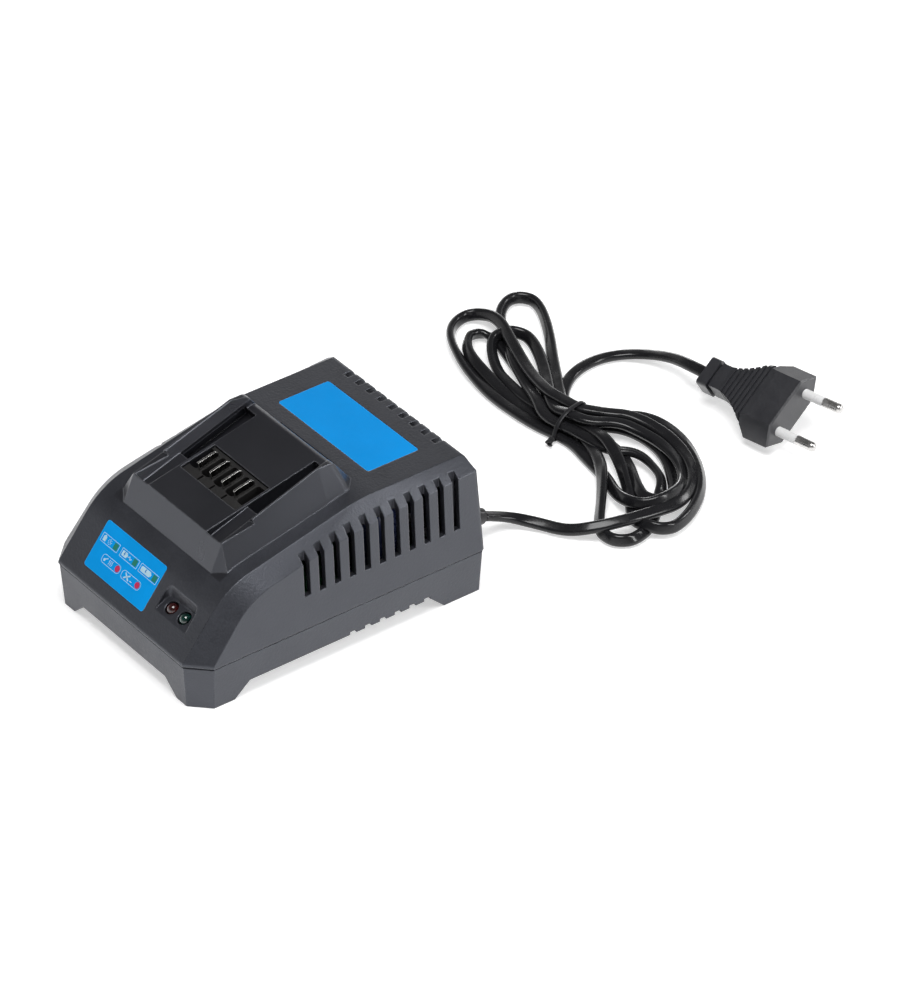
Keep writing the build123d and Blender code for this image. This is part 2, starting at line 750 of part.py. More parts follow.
# ---------------------------------------------------------------- terminal block
block_plane = Plane(
    origin=(0, terminal_y, floor_height(terminal_y)), x_dir=(1, 0, 0), z_dir=floor_plane.z_dir
)
block_width = terminal_width - 2 * terminal_clearance
block_length = terminal_length - 2 * terminal_clearance
block_tab_length = 3.0  # flat tabs at the front of the block
block_tab_gap = (0.9, 1.2)  # width and depth of the steps between the tabs
block_wall = 2.6  # between two wells, round a blade
block_well_margin = 0.7  # wells beyond the ends of the blades
block_well_radius = 1.2
blade_set = 1.0  # blades behind the tabs
blade_middle = block_tab_length + blade_set + (blade_length - block_length) / 2

with BuildPart() as terminal_block:
    with BuildSketch(block_plane.offset(-terminal_depth)):
        Rectangle(block_width, block_length)
    extrude(amount=terminal_depth - terminal_sink)
    with BuildSketch(block_plane.offset(-case_wall - terminal_flange[2])):
        Rectangle(terminal_flange[0], terminal_flange[1])
    extrude(amount=terminal_flange[2])
    # deep wells between the blades, with rounded backs
    with BuildSketch(block_plane.offset(-terminal_sink)):
        for i in range(blade_count + 1):
            with Locations(((i - blade_count / 2) * blade_pitch, blade_middle)):
                RectangleRounded(
                    blade_pitch - block_wall,
                    blade_length + 2 * block_well_margin,
                    block_well_radius,
                )
    extrude(amount=-terminal_depth / 2, mode=Mode.SUBTRACT)
    # steps between the front tabs
    with BuildSketch(block_plane.offset(-terminal_sink)):
        for x in (-blade_pitch, 0, blade_pitch):
            with Locations((x, (block_tab_length - block_length) / 2)):
                Rectangle(block_tab_gap[0], block_tab_length)
    extrude(amount=-block_tab_gap[1], mode=Mode.SUBTRACT)
    # slots that hold the blades
    with BuildSketch(block_plane.offset(-terminal_depth)):
        for x in blade_xs:
            with Locations((x, blade_middle)):
                Rectangle(
                    blade_thickness + 2 * blade_slot_clearance,
                    blade_length + 2 * blade_slot_clearance,
                )
    extrude(amount=terminal_depth, mode=Mode.SUBTRACT)
save(terminal_block, "terminal_block")

with BuildPart() as contact_blades:
    blade_side = Plane(
        origin=block_plane.origin, x_dir=block_plane.y_dir, z_dir=block_plane.x_dir
    )
    tail_half = blade_length / 6
    blade_radii = [0, 0.6, 1.8, 0, 0, 0, 0, 0]
    for x in blade_xs:
        with BuildSketch(blade_side.offset(x - blade_thickness / 2)) as blade:
            with BuildLine():
                FilletPolyline(
                    (blade_middle - blade_length / 2, -terminal_depth),
                    (blade_middle - blade_length / 2, blade_rise),
                    (blade_middle + blade_length / 2, blade_rise),
                    (blade_middle + blade_length / 2, -terminal_depth),
                    (blade_middle + tail_half, -terminal_depth),
                    (blade_middle + tail_half, -terminal_depth - blade_tail),
                    (blade_middle - tail_half, -terminal_depth - blade_tail),
                    (blade_middle - tail_half, -terminal_depth),
                    radius=blade_radii,
                    close=True,
                )
            make_face()
        extrude(amount=blade_thickness)
save(contact_blades, "contact_blades")

# ---------------------------------------------------------------- main board and its parts
board_corner_radius = 1.5
with BuildPart() as main_board:
    with BuildSketch(Plane.XY.offset(board_height)):
        with Locations((0, board_y)):
            RectangleRounded(2 * board_right, board_rear - board_front, board_corner_radius)
        with Locations(*board_post_places):
            Circle(board_screw_diameter / 2 + screw_clearance, mode=Mode.SUBTRACT)
    extrude(amount=board_thickness)
save(main_board, "main_board")

with BuildPart() as board_screws:
    with BuildSketch(Plane.XY.offset(board_top)):
        with Locations(*board_post_places):
            Circle(board_screw_head[0] / 2)
    extrude(amount=board_screw_head[1])
    fillet(board_screws.edges().group_by(Axis.Z)[-1], radius=board_screw_head[1] / 2)
    with BuildSketch(Plane.XY.offset(board_top)):
        with Locations(*board_post_places):
            Circle(board_screw_diameter / 2)
    extrude(amount=board_screw_tip - board_screw_length)
save(board_screws, "board_screws")

fuse_size = (5.2, 20.0)  # diameter of the caps, length between them
fuse_cap_length = 5.0
fuse_lift = 4.2
fuse_set = (4.2, 18.0)  # in from the left and rear edges of the board
fuse_place = (fuse_set[0] - board_right, board_rear - fuse_set[1])
fuse_front = fuse_place[1] - fuse_size[1] / 2 - fuse_cap_length

core_size = (30.0, 12.0, 28.0)
core_gap = 1.0  # between the fuse and the transformer
core_rear_set = 26.0
core_leg = 9.0  # centre leg
core_window = (6.0, 19.0)
winding_wall = 5.7
core_place = (
    fuse_place[0] + fuse_size[0] / 2 + core_gap + core_size[0] / 2,
    board_rear - core_rear_set,
)
with BuildPart() as transformer_core:
    with BuildSketch(Plane.XZ.offset(-core_place[1] - core_size[1] / 2)):
        with Locations((core_place[0], board_top + core_size[2] / 2)):
            Rectangle(core_size[0], core_size[2])
        for side in (-1, 1):
            window_x = core_place[0] + side * (core_leg + core_window[0]) / 2
            with Locations((window_x, board_top + core_size[2] / 2)):
                Rectangle(*core_window, mode=Mode.SUBTRACT)
    extrude(amount=core_size[1])
save(transformer_core, "transformer_core")

with BuildPart() as transformer_winding:
    winding_base = board_top + (core_size[2] - core_window[1]) / 2
    with BuildSketch(Plane.XY.offset(winding_base)):
        with Locations(core_place):
            RectangleRounded(
                core_leg + 2 * winding_wall, core_size[1] + 2 * winding_wall, winding_wall / 2
            )
            Rectangle(core_leg, core_size[1], mode=Mode.SUBTRACT)
    extrude(amount=core_window[1])
save(transformer_winding, "transformer_winding")


can_rim_radius = 0.8
can_neck_height = 2.4
can_neck_radius = 0.6


def upright_can(places, diameter, height):
    """Electrolytic capacitors with a crimped neck near the foot."""
    with BuildPart() as cans:
        with BuildSketch(Plane.XY.offset(board_top)):
            with Locations(*places):
                Circle(diameter / 2)
        extrude(amount=height)
        fillet(cans.edges().group_by(Axis.Z)[-1], radius=can_rim_radius)
        for x, y in places:
            with BuildSketch(Plane.XZ.offset(-y)):
                with Locations((x + diameter / 2, board_top + can_neck_height)):
                    Circle(can_neck_radius)
            revolve(axis=Axis((x, y, 0), (0, 0, 1)), mode=Mode.SUBTRACT)
    return cans


mains_can_size = (20.0, 32.0)  # diameter, height
mains_can_set = (11.6, 20.0)  # in from the right and rear edges of the board
output_can_size = (10.0, 16.0)
output_can_side_set = 9.0
output_can_front_sets = (24.0, 36.0)
mains_can_place = (board_right - mains_can_set[0], board_rear - mains_can_set[1])
output_can_x = board_right - output_can_side_set
output_can_places = [(output_can_x, board_front + y) for y in output_can_front_sets]
save(upright_can([mains_can_place], *mains_can_size), "mains_capacitor")
save(upright_can(output_can_places, *output_can_size), "output_capacitors")

heatsink_plate = 1.8
heatsink_foot = 7.0
heatsink_fin = 5.0
heatsink_fin_count = 3
heatsink_fin_pitch = 6.0
primary_sink_height = 26.0
primary_sink_front_set = 31.0
primary_sink_clearance = 6.0  # in front of the fuse
output_sink_height = 22.0
output_sink_length = 22.0
output_sink_set = (22.0, 7.0)  # in from the right edge, behind the front edge
primary_sink_ends = (board_front + primary_sink_front_set, fuse_front - primary_sink_clearance)
# x, y of the plate's middle, length along Y, height
primary_sink = (
    heatsink_foot - board_right,
    sum(primary_sink_ends) / 2,
    primary_sink_ends[1] - primary_sink_ends[0],
    primary_sink_height,
)
output_sink = (
    board_right - output_sink_set[0],
    board_front + output_sink_set[1] + output_sink_length / 2,
    output_sink_length,
    output_sink_height,
)


def heatsink(x, y, length, height, side):
    """Folded aluminium plate with a foot and three fins on one side."""
    with BuildPart() as sink:
        with BuildSketch(Plane.XZ.offset(-y - length / 2)):
            with Locations((x, board_top)):
                Rectangle(heatsink_plate, height, align=(Align.CENTER, Align.MIN))
            with Locations((x + side * heatsink_foot / 2, board_top)):
                Rectangle(heatsink_foot, heatsink_plate, align=(Align.CENTER, Align.MIN))
            for i in range(heatsink_fin_count):
                fin_z = board_top + height - heatsink_plate / 2 - i * heatsink_fin_pitch
                with Locations((x + side * heatsink_fin / 2, fin_z)):
                    Rectangle(heatsink_fin, heatsink_plate)
        extrude(amount=length)
    return sink


save(heatsink(*primary_sink, -1), "primary_heatsink")
save(heatsink(*output_sink, 1), "output_heatsink")


package_width = 10.0
package_tab = (15.4, 1.3)  # height, thickness
package_body = (9.0, 4.4)
package_hole_diameter = 3.6
package_hole_rise = 12.6  # above the foot of the tab
package_leg = (0.8, 0.6)
package_leg_pitch = 2.54


def power_package(x, y, lift, side):
    """Power package against a heatsink: metal tab, moulded body and three legs."""
    face_x = x + side * heatsink_plate / 2
    foot_z = board_top + lift
    with BuildPart() as package:
        with BuildSketch(Plane.YZ.offset(face_x)):
            with Locations((y, foot_z)):
                Rectangle(package_width, package_tab[0], align=(Align.CENTER, Align.MIN))
            with Locations((y, foot_z + package_hole_rise)):
                Circle(package_hole_diameter / 2, mode=Mode.SUBTRACT)
        extrude(amount=side * package_tab[1])
        with BuildSketch(Plane.YZ.offset(face_x)):
            with Locations((y, foot_z)):
                Rectangle(package_width, package_body[0], align=(Align.CENTER, Align.MIN))
        extrude(amount=side * package_body[1])
        with BuildSketch(Plane.YZ.offset(face_x + side * package_body[1] / 2)):
            for i in (-1, 0, 1):
                with Locations((y + i * package_leg_pitch, board_top)):
                    Rectangle(package_leg[0], lift, align=(Align.CENTER, Align.MIN))
        extrude(amount=side * package_leg[1])
    return package


package_lifts = (4.0, 3.0)  # on the primary and the output heatsink
save(power_package(*primary_sink[:2], package_lifts[0], 1), "switching_transistor")
save(power_package(*output_sink[:2], package_lifts[1], -1), "output_rectifier")

bridge_size = (15.0, 3.6, 11.0)
bridge_lift = 2.5
bridge_chamfer = 2.5
bridge_leg = (0.9, 0.6)
bridge_leg_count = 4
bridge_leg_pitch = 3.8
bridge_core_gap = 16.5  # in front of the transformer's middle
bridge_place = (core_place[0], core_place[1] - bridge_core_gap)
with BuildPart() as bridge_rectifier:
    with BuildSketch(Plane.XY.offset(board_top + bridge_lift)):
        with Locations(bridge_place):
            Rectangle(bridge_size[0], bridge_size[1])
    extrude(amount=bridge_size[2])
    top_edges = bridge_rectifier.edges().filter_by(Axis.Y).group_by(Axis.Z)[-1]
    chamfer(top_edges.sort_by(Axis.X)[0], length=bridge_chamfer)
    with BuildSketch(Plane.XY.offset(board_top)):
        for i in range(bridge_leg_count):
            leg_x = bridge_place[0] + (i - (bridge_leg_count - 1) / 2) * bridge_leg_pitch
            with Locations((leg_x, bridge_place[1])):
                Rectangle(*bridge_leg)
    extrude(amount=bridge_lift)
save(bridge_rectifier, "bridge_rectifier")

choke_base = (20.0, 9.0, 2.0)
choke_diameter = 14.0
choke_bore = 6.0
choke_length = 8.0
choke_sink = 0.4  # ring below the top of its base
choke_set = (17.5, 7.0)  # in from the left and rear edges of the board
choke_place = (choke_set[0] - board_right, board_rear - choke_set[1])
with BuildPart() as mains_choke:
    with BuildSketch(Plane.XY.offset(board_top)):
        with Locations(choke_place):
            Rectangle(choke_base[0], choke_base[1])
    extrude(amount=choke_base[2])
    with BuildSketch(Plane.XZ.offset(-choke_place[1] - choke_length / 2)):
        ring_z = board_top + choke_base[2] + choke_diameter / 2 - choke_sink
        with Locations((choke_place[0], ring_z)):
            Circle(choke_diameter / 2)
            Circle(choke_bore / 2, mode=Mode.SUBTRACT)
    extrude(amount=choke_length)
save(mains_choke, "mains_choke")

suppressor_size = (17.5, 8.0, 14.0)
suppressor_radius = 0.8
suppressor_set = (13.0, 6.5)  # beside the cord, in front of the rear edge of the board
suppressor_place = (cord_exit_x - suppressor_set[0], board_rear - suppressor_set[1])
with BuildPart() as suppression_capacitor:
    with BuildSketch(Plane.XY.offset(board_top)):
        with Locations(suppressor_place):
            Rectangle(suppressor_size[0], suppressor_size[1])
    extrude(amount=suppressor_size[2])
    fillet(suppression_capacitor.edges().filter_by(Axis.Z), radius=suppressor_radius)
save(suppression_capacitor, "suppression_capacitor")

fuse_height = board_top + fuse_lift
fuse_cap_wall = 0.3
fuse_clip = (4.0, 2.0, 2.0)
with BuildPart() as fuse:
    with BuildSketch(Plane.XZ.offset(-fuse_place[1] - fuse_size[1] / 2)):
        with Locations((fuse_place[0], fuse_height)):
            Circle(fuse_size[0] / 2 - fuse_cap_wall)
    extrude(amount=fuse_size[1])
    for end in (-1, 1):
        with BuildSketch(Plane.XZ.offset(-fuse_place[1] - end * fuse_size[1] / 2)):
            with Locations((fuse_place[0], fuse_height)):
                Circle(fuse_size[0] / 2)
        extrude(amount=end * fuse_cap_length)
        clip_y = fuse_place[1] + end * (fuse_size[1] - fuse_cap_length) / 2
        with BuildSketch(Plane.XY.offset(board_top)):
            with Locations((fuse_place[0], clip_y)):
                Rectangle(fuse_clip[0], fuse_clip[1])
        extrude(amount=fuse_clip[2])
save(fuse, "fuse")


def wire(points, radii, diameter):
    """Round wire along straight runs joined by arcs."""
    start = Vector(*points[0])
    with BuildPart() as core:
        with BuildLine() as run:
            FilletPolyline(*points, radius=radii)
        with BuildSketch(Plane(origin=start, z_dir=Vector(*points[1]) - start)):
            Circle(diameter / 2)
        sweep(path=run.line)
    return core.part


# ---------------------------------------------------------------- wires inside
lead_diameter = 1.6
lead_drop = 5.0
lead_bend_radius = 8.0
with BuildPart() as terminal_leads:
    for x in blade_xs:
        tail = block_plane.from_local_coords((x, blade_middle, -terminal_depth - blade_tail))
        bend = tail - block_plane.z_dir * lead_drop
        add(wire([tail, bend, (x, bend.Y, board_top)], [lead_bend_radius], lead_diameter))
save(terminal_leads, "terminal_leads")

mains_sheath_tail = 1.5  # sheath in front of the clamp
mains_sheath_end = clamp_y - clamp_size[1] / 2 - mains_sheath_tail
mains_lead_diameter = 1.8
mains_lead_rise = (2.6, 3.6)  # run and climb of the cores out of the sheath
mains_lead_reach = 8.0
mains_lead_radii = [4.0, 1.8]
flange_plane = exit_plane.offset(-case_wall - grommet_flange[1])
sheath_y = flange_plane.origin.Y
sheath_z = flange_plane.origin.Z
with BuildPart() as mains_leads:
    # sheathed tail of the cord under the clamp bar
    with BuildSketch(flange_plane):
        RectangleRounded(cord_width, cord_thickness, cord_radius)
    with BuildSketch(Plane.XZ.offset(-clamp_y - clamp_size[1] / 2)):
        with Locations((cord_exit_x, clamp_base - cord_thickness / 2)):
            RectangleRounded(cord_width, cord_thickness, cord_radius)
    loft(ruled=True)
    with BuildSketch(Plane.XZ.offset(-clamp_y - clamp_size[1] / 2)):
        with Locations((cord_exit_x, clamp_base - cord_thickness / 2)):
            RectangleRounded(cord_width, cord_thickness, cord_radius)
    extrude(amount=clamp_y + clamp_size[1] / 2 - mains_sheath_end)
    # the two cores, over the rear edge of the board
    for side in (-1, 1):
        x = cord_exit_x + side * cord_width / 4
        z = clamp_base - cord_thickness / 2
        route = [
            (x, mains_sheath_end + 1, z),
            (x, mains_sheath_end - mains_lead_rise[0], z + mains_lead_rise[1]),
            (x, mains_sheath_end - mains_lead_reach, z + mains_lead_rise[1]),
            (x, mains_sheath_end - mains_lead_reach, board_top),
        ]
        add(wire(route, mains_lead_radii, mains_lead_diameter))
save(mains_leads, "mains_leads")

with BuildPart() as cord_clamp:
    with BuildSketch(Plane.XY.offset(clamp_base)):
        with Locations((cord_exit_x, clamp_y)):
            Rectangle(clamp_size[0], clamp_size[1])
        with Locations(*clamp_screw_places):
            Circle(board_screw_diameter / 2 + screw_clearance, mode=Mode.SUBTRACT)
    extrude(amount=clamp_size[2])
    chamfer(cord_clamp.edges().filter_by(Axis.X).group_by(Axis.Z)[-1], length=0.6)
save(cord_clamp, "cord_clamp")

with BuildPart() as clamp_screws:
    clamp_top = clamp_base + clamp_size[2]
    with BuildSketch(Plane.XY.offset(clamp_top)):
        with Locations(*clamp_screw_places):
            Circle(board_screw_head[0] / 2)
    extrude(amount=board_screw_head[1])
    fillet(clamp_screws.edges().group_by(Axis.Z)[-1], radius=board_screw_head[1] / 2)
    with BuildSketch(Plane.XY.offset(clamp_top)):
        with Locations(*clamp_screw_places):
            Circle(board_screw_diameter / 2)
    extrude(amount=board_screw_tip - board_screw_length - clamp_size[2])
save(clamp_screws, "clamp_screws")

# ---------------------------------------------------------------- grommet and cord
boot_diameters = (8.4, 6.4)  # at the collar and at the tip
boot_length = 19.0
boot_droop = 22.0  # slope of the cord where it leaves the boot, degrees
boot_sections = 4
boot_radius = boot_length / radians(boot_droop - base_draft)


def boot_plane(share):
    """Section plane of the drooping boot, from the collar (0) to the tip (1)."""
    slope = radians(base_draft + share * (boot_droop - base_draft))
    start = exit_plane.offset(grommet_collar[1]).origin
    run = boot_radius * (sin(slope) - sin(radians(base_draft)))
    drop = boot_radius * (cos(radians(base_draft)) - cos(slope))
    return Plane(
        origin=start + Vector(0, run, -drop), x_dir=(1, 0, 0), z_dir=(0, cos(slope), -sin(slope))
    )


with BuildPart() as cord_grommet:
    with BuildSketch(flange_plane):
        Circle(grommet_flange[0] / 2)
    extrude(amount=grommet_flange[1])
    with BuildSketch(exit_plane.offset(-case_wall)):
        Circle(grommet_diameter / 2)
    extrude(amount=case_wall)
    with BuildSketch(exit_plane):
        Circle(grommet_collar[0] / 2)
    extrude(amount=grommet_collar[1])
    collar_rim = cord_grommet.edges().filter_by(GeomType.CIRCLE).sort_by(Axis.Y)[-1]
    fillet(collar_rim, radius=grommet_collar[1] / 4)
    for i in range(boot_sections):
        share = i / (boot_sections - 1)
        with BuildSketch(boot_plane(share)):
            Circle((boot_diameters[0] * (1 - share) + boot_diameters[1] * share) / 2)
    loft()
save(cord_grommet, "cord_grommet")



def behind(places):
    """The same places with their second number measured from the rear of the case."""
    return [(x, half_depth + y, last) for x, y, last in places]


boot_tip = boot_plane(1)
boot_run = 11.0  # the cord leaves the boot straight
near_route = [
    boot_tip.origin,
    boot_tip.origin + boot_tip.z_dir * boot_run,
    *behind([(26.5, 39.5, 2.2), (36.5, 45.5, 1.9), (43.5, 53.0, 1.9), (46.6, 60.6, 1.9)]),
]

plug_tip = (42.53, half_depth + 153.62, 13.6)  # middle of the plug's front face
plug_axis = Vector(0.9864, 0.1497, 0.0674).normalized()
plug_across = Vector(-0.163, 0.8434, 0.512)
plug_length = 43.4
plug_run = 10.0  # the cord enters the plug straight
far_end = Vector(*plug_tip) - plug_axis * plug_length
far_route = [
    *behind([(-36.5, 103.5, 4.2), (-43.5, 114.0, 2.4), (-45.0, 124.5, 1.8)]),
    *behind([(-42.0, 135.5, 2.0), (-34.0, 143.2, 3.4), (-23.0, 146.2, 6.4)]),
    far_end - plug_axis * plug_run,
    far_end,
]


def bend_radii(route):
    """Radii of the arcs between the straight runs of a route."""
    runs = [Vector(*after) - Vector(*before) for before, after in zip(route, route[1:])]
    return [
        0.45 * min(first.length, second.length) / tan(radians(first.get_angle(second)) / 2)
        for first, second in zip(runs, runs[1:])
    ]


def flat_cord(route):
    """Flat cord along a route, level across its width where it starts."""
    start = Vector(*route[0])
    heading = Vector(*route[1]) - start
    level = Vector(-heading.Y, heading.X, 0)
    with BuildPart() as run:
        with BuildLine() as middle:
            FilletPolyline(*route, radius=bend_radii(route))
        with BuildSketch(Plane(origin=start, x_dir=level, z_dir=heading)):
            RectangleRounded(cord_width, cord_thickness, cord_radius)
        sweep(path=middle.line)
    return run


cord_near_run = flat_cord(near_route)
save(cord_near_run, "cord_near_run")
cord_far_run = flat_cord(far_route)
save(cord_far_run, "cord_far_run")

hank_height = 9.3
hank_rounding = 3.0
waist_place = (-15.0, half_depth + 90.0)
waist_radius = 10.8
# circles whose hull bounds the loops on each side of the tie: x, y behind the case, radius
upper_loops = behind([(-40, 92, 13.3), (-62, 95, 14), (-85.5, 102.5, 14.3), (-92.5, 125, 9.3)])
middle_loops = behind([(8.0, 105.0, 12.5), (38.0, 97.0, 14.0), (24.0, 85.0, 10.0)])
lower_loops = behind([(38.0, 97.0, 14.0), (48.5, 84.0, 12.5), (51.5, 63.0, 8.7)])
waist = (*waist_place, waist_radius)
hank_hulls = [[waist, *upper_loops], [waist, *middle_loops], [middle_loops[-1], *lower_loops]]
tie_angle = 12.0  # heading of the hank through the tie, degrees from +X
tie_thickness = 1.1
tie_width = 1.3
tie_proud = 0.3
waist_plane = Plane(
    origin=(*waist_place, 0),
    x_dir=(-sin(radians(tie_angle)), cos(radians(tie_angle)), 0),
    z_dir=(cos(radians(tie_angle)), sin(radians(tie_angle)), 0),
)


def tie_outline(inset):
    """Outline of the tie round the waist of the hank."""
    height = hank_height + tie_proud
    with BuildSketch() as ring:
        with Locations((0, height / 2)):
            RectangleRounded(
                2 * (waist_radius + tie_proud - inset),
                height - 2 * inset,
                hank_rounding - inset / 2,
            )
    return ring.sketch


tail_length = 7.0
tail_diameter = 1.7
with BuildPart() as cord_tie:
    with BuildSketch(waist_plane):
        add(tie_outline(0))
        add(tie_outline(tie_thickness), mode=Mode.SUBTRACT)
    extrude(amount=tie_width / 2, both=True)
    tail_plane = Plane(
        origin=waist_plane.from_local_coords((-waist_radius - tie_proud, 2.4, 0)),
        z_dir=-waist_plane.x_dir,
    )
    with BuildSketch(tail_plane):
        Circle(tail_diameter / 2)
    extrude(amount=tail_length)
save(cord_tie, "cord_tie")

with BuildPart() as cord_hank:
    for hull in hank_hulls:
        with BuildSketch():
            for x, y, radius in hull:
                with Locations((x, y)):
                    Circle(radius)
            make_hull()
        extrude(amount=hank_height)
    fillet(cord_hank.edges().group_by(Axis.Z)[-1], radius=hank_rounding)
    with BuildSketch(waist_plane):
        Rectangle(4 * waist_radius, 4 * hank_height)
        add(tie_outline(tie_thickness), mode=Mode.SUBTRACT)
    extrude(amount=tie_width / 2, both=True, mode=Mode.SUBTRACT)
    add(cord_tie.part, mode=Mode.SUBTRACT)
    add(cord_near_run.part, mode=Mode.SUBTRACT)
    add(cord_far_run.part, mode=Mode.SUBTRACT)
save(cord_hank, "cord_hank")

# ---------------------------------------------------------------- plug
plug_width = 35.2
plug_face_width = 21.6  # flat part of the top and bottom faces
plug_thickness = 13.2
plug_head = 12.3  # length of the wide part
plug_neck_start = 32.5
plug_neck_half = 5.5
plug_neck_thickness = 8.6
collar_length = 5.0
collar_half = 6.4
collar_thickness = 9.4
rib_pitch = 2.4
rib_count = 7
rib_gap = 1.0
rib_depth = 0.6
rib_start = 15.4
flank_radius = 34.0
pin_spacing = 18.6
pin_diameter = 4.0
pin_length = 19.0
pin_core_diameter = 3.0
pin_sleeve_length = 10.0
pin_root = 8.0

plug_plane = Plane(origin=plug_tip, x_dir=plug_across, z_dir=plug_axis)  # y across the thickness
plug_flat = Plane(origin=plug_tip, x_dir=plug_plane.x_dir, z_dir=-plug_plane.y_dir)
plug_side = Plane(origin=plug_tip, x_dir=plug_plane.y_dir, z_dir=plug_plane.x_dir)


def plug_outline(inset):
    """Plan of the plug body in front of its collar, mirrored about its axis."""
    with BuildSketch() as outline:
        with BuildLine():
            right = Polyline(
                (plug_neck_half, -plug_neck_start - collar_length),
                (plug_neck_half, -plug_neck_start),
            )
            flank = RadiusArc(right @ 1, (plug_width / 2, -plug_head), flank_radius)
            head = Polyline(flank @ 1, (plug_width / 2, 0), (0, 0))
            mirror(about=Plane.YZ)
            Line(right @ 0, (-plug_neck_half, -plug_neck_start - collar_length))
        make_face()
        if inset:
            offset(amount=-inset, kind=Kind.INTERSECTION)
    return outline.sketch


def plug_side_outline(inset):
    """Side view of the plug body, mirrored about its axis."""
    half = plug_thickness / 2 - inset
    neck = plug_neck_thickness / 2 - inset
    with BuildSketch() as outline:
        with BuildLine():
            Polyline(
                (half, 1),
                (half, -plug_head),
                (neck, -plug_neck_start),
                (neck, -plug_length),
                (-neck, -plug_length),
                (-neck, -plug_neck_start),
                (-half, -plug_head),
                (-half, 1),
                close=True,
            )
        make_face()
    return outline.sketch


def plug_block(inset):
    """Plug body in front of the collar, without its ribs."""
    with BuildPart() as block:
        with BuildSketch(plug_flat):
            add(plug_outline(inset))
        extrude(amount=plug_thickness, both=True)
        with BuildSketch(plug_side):
            add(plug_side_outline(inset))
        extrude(amount=plug_width, both=True, mode=Mode.INTERSECT)
        with BuildSketch(plug_plane):
            Polygon(
                (plug_width / 2 - inset, 0),
                (plug_face_width / 2, plug_thickness / 2 - inset),
                (-plug_face_width / 2, plug_thickness / 2 - inset),
                (-plug_width / 2 + inset, 0),
                (-plug_face_width / 2, -plug_thickness / 2 + inset),
                (plug_face_width / 2, -plug_thickness / 2 + inset),
                align=None,
            )
        extrude(amount=plug_length, both=True, mode=Mode.INTERSECT)
    return block.part


pin_places = [(side * pin_spacing / 2, 0) for side in (-1, 1)]
with BuildPart() as rib_gaps:
    for i in range(rib_count):
        with BuildSketch(plug_plane.offset(-rib_start - i * rib_pitch)):
            Rectangle(2 * plug_width, 2 * plug_thickness)
        extrude(amount=-rib_gap)
    add(plug_block(rib_depth), mode=Mode.SUBTRACT)

with BuildPart() as plug_body:
    add(plug_block(0))
    front_edges = plug_body.edges().filter_by_position(
        Axis(plug_plane.origin, plug_plane.z_dir), -0.01, 0.01
    )
    chamfer(front_edges, length=0.6)
    add(rib_gaps.part, mode=Mode.SUBTRACT)
    with BuildSketch(plug_plane.offset(-plug_length)):
        RectangleRounded(2 * collar_half, collar_thickness, 1.4)
    extrude(amount=collar_length)
    with BuildSketch(plug_plane.offset(-plug_length)):
        RectangleRounded(2 * plug_neck_half - 2, plug_neck_thickness - 1.6, 1.4)
    extrude(amount=plug_length - plug_neck_start)
    with BuildSketch(plug_plane.offset(-pin_root)):
        with Locations(*pin_places):
            Circle(pin_core_diameter / 2)
    extrude(amount=pin_root, mode=Mode.SUBTRACT)
save(plug_body, "plug_body")

with BuildPart() as plug_pins:
    with BuildSketch(plug_plane.offset(-pin_root)):
        with Locations(*pin_places):
            Circle(pin_core_diameter / 2)
    extrude(amount=pin_root + pin_sleeve_length)
    with BuildSketch(plug_plane.offset(pin_sleeve_length)):
        with Locations(*pin_places):
            Circle(pin_diameter / 2)
    extrude(amount=pin_length - pin_sleeve_length)
    fillet(
        plug_pins.edges().sort_by(Axis(plug_plane.origin, plug_plane.z_dir))[-2:],
        radius=pin_diameter / 2 - 0.1,
    )
save(plug_pins, "plug_pins")

with BuildPart() as pin_sleeves:
    with BuildSketch(plug_plane):
        with Locations(*pin_places):
            Circle(pin_diameter / 2)
            Circle(pin_core_diameter / 2, mode=Mode.SUBTRACT)
    extrude(amount=pin_sleeve_length)
save(pin_sleeves, "pin_sleeves")
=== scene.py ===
"""Looks of the battery charger, on its CAD frame: camera, light, cord, marks, materials. Metres."""
import math

import bmesh
import bpy
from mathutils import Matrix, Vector


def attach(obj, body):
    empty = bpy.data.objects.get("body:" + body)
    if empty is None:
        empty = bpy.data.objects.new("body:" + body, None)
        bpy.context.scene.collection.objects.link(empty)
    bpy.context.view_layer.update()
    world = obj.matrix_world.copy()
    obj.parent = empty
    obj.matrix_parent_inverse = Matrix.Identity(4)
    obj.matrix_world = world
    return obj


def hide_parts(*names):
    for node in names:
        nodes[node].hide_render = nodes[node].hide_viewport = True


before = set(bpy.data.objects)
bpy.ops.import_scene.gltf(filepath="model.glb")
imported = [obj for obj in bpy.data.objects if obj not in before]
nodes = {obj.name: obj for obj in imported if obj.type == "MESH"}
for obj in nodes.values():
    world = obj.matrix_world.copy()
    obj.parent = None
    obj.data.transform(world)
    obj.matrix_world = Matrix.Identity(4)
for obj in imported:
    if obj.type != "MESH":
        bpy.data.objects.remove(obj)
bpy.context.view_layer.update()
scene = bpy.context.scene
MM = 0.001
UPWARD = Vector((0, 0, 1))


# ---------------------------------------------------------------- camera
# fitted to the edges of the case and the plug in the photograph
CAMERA_AT = (1.4238, -0.9907, 1.2770)
CAMERA_TILT, CAMERA_PAN = 54.533, 52.905
LENS_MM, SENSOR_MM = 207.05, 36.0

cam_data = bpy.data.cameras.new("camera")
cam_data.sensor_width = SENSOR_MM
cam_data.lens = LENS_MM
cam_data.clip_start, cam_data.clip_end = 0.05, 20.0
cam = bpy.data.objects.new("camera", cam_data)
cam.location = CAMERA_AT
cam.rotation_euler = (math.radians(CAMERA_TILT), 0.0, math.radians(CAMERA_PAN))
scene.collection.objects.link(cam)
scene.camera = cam
scene.view_settings.view_transform = "Standard"


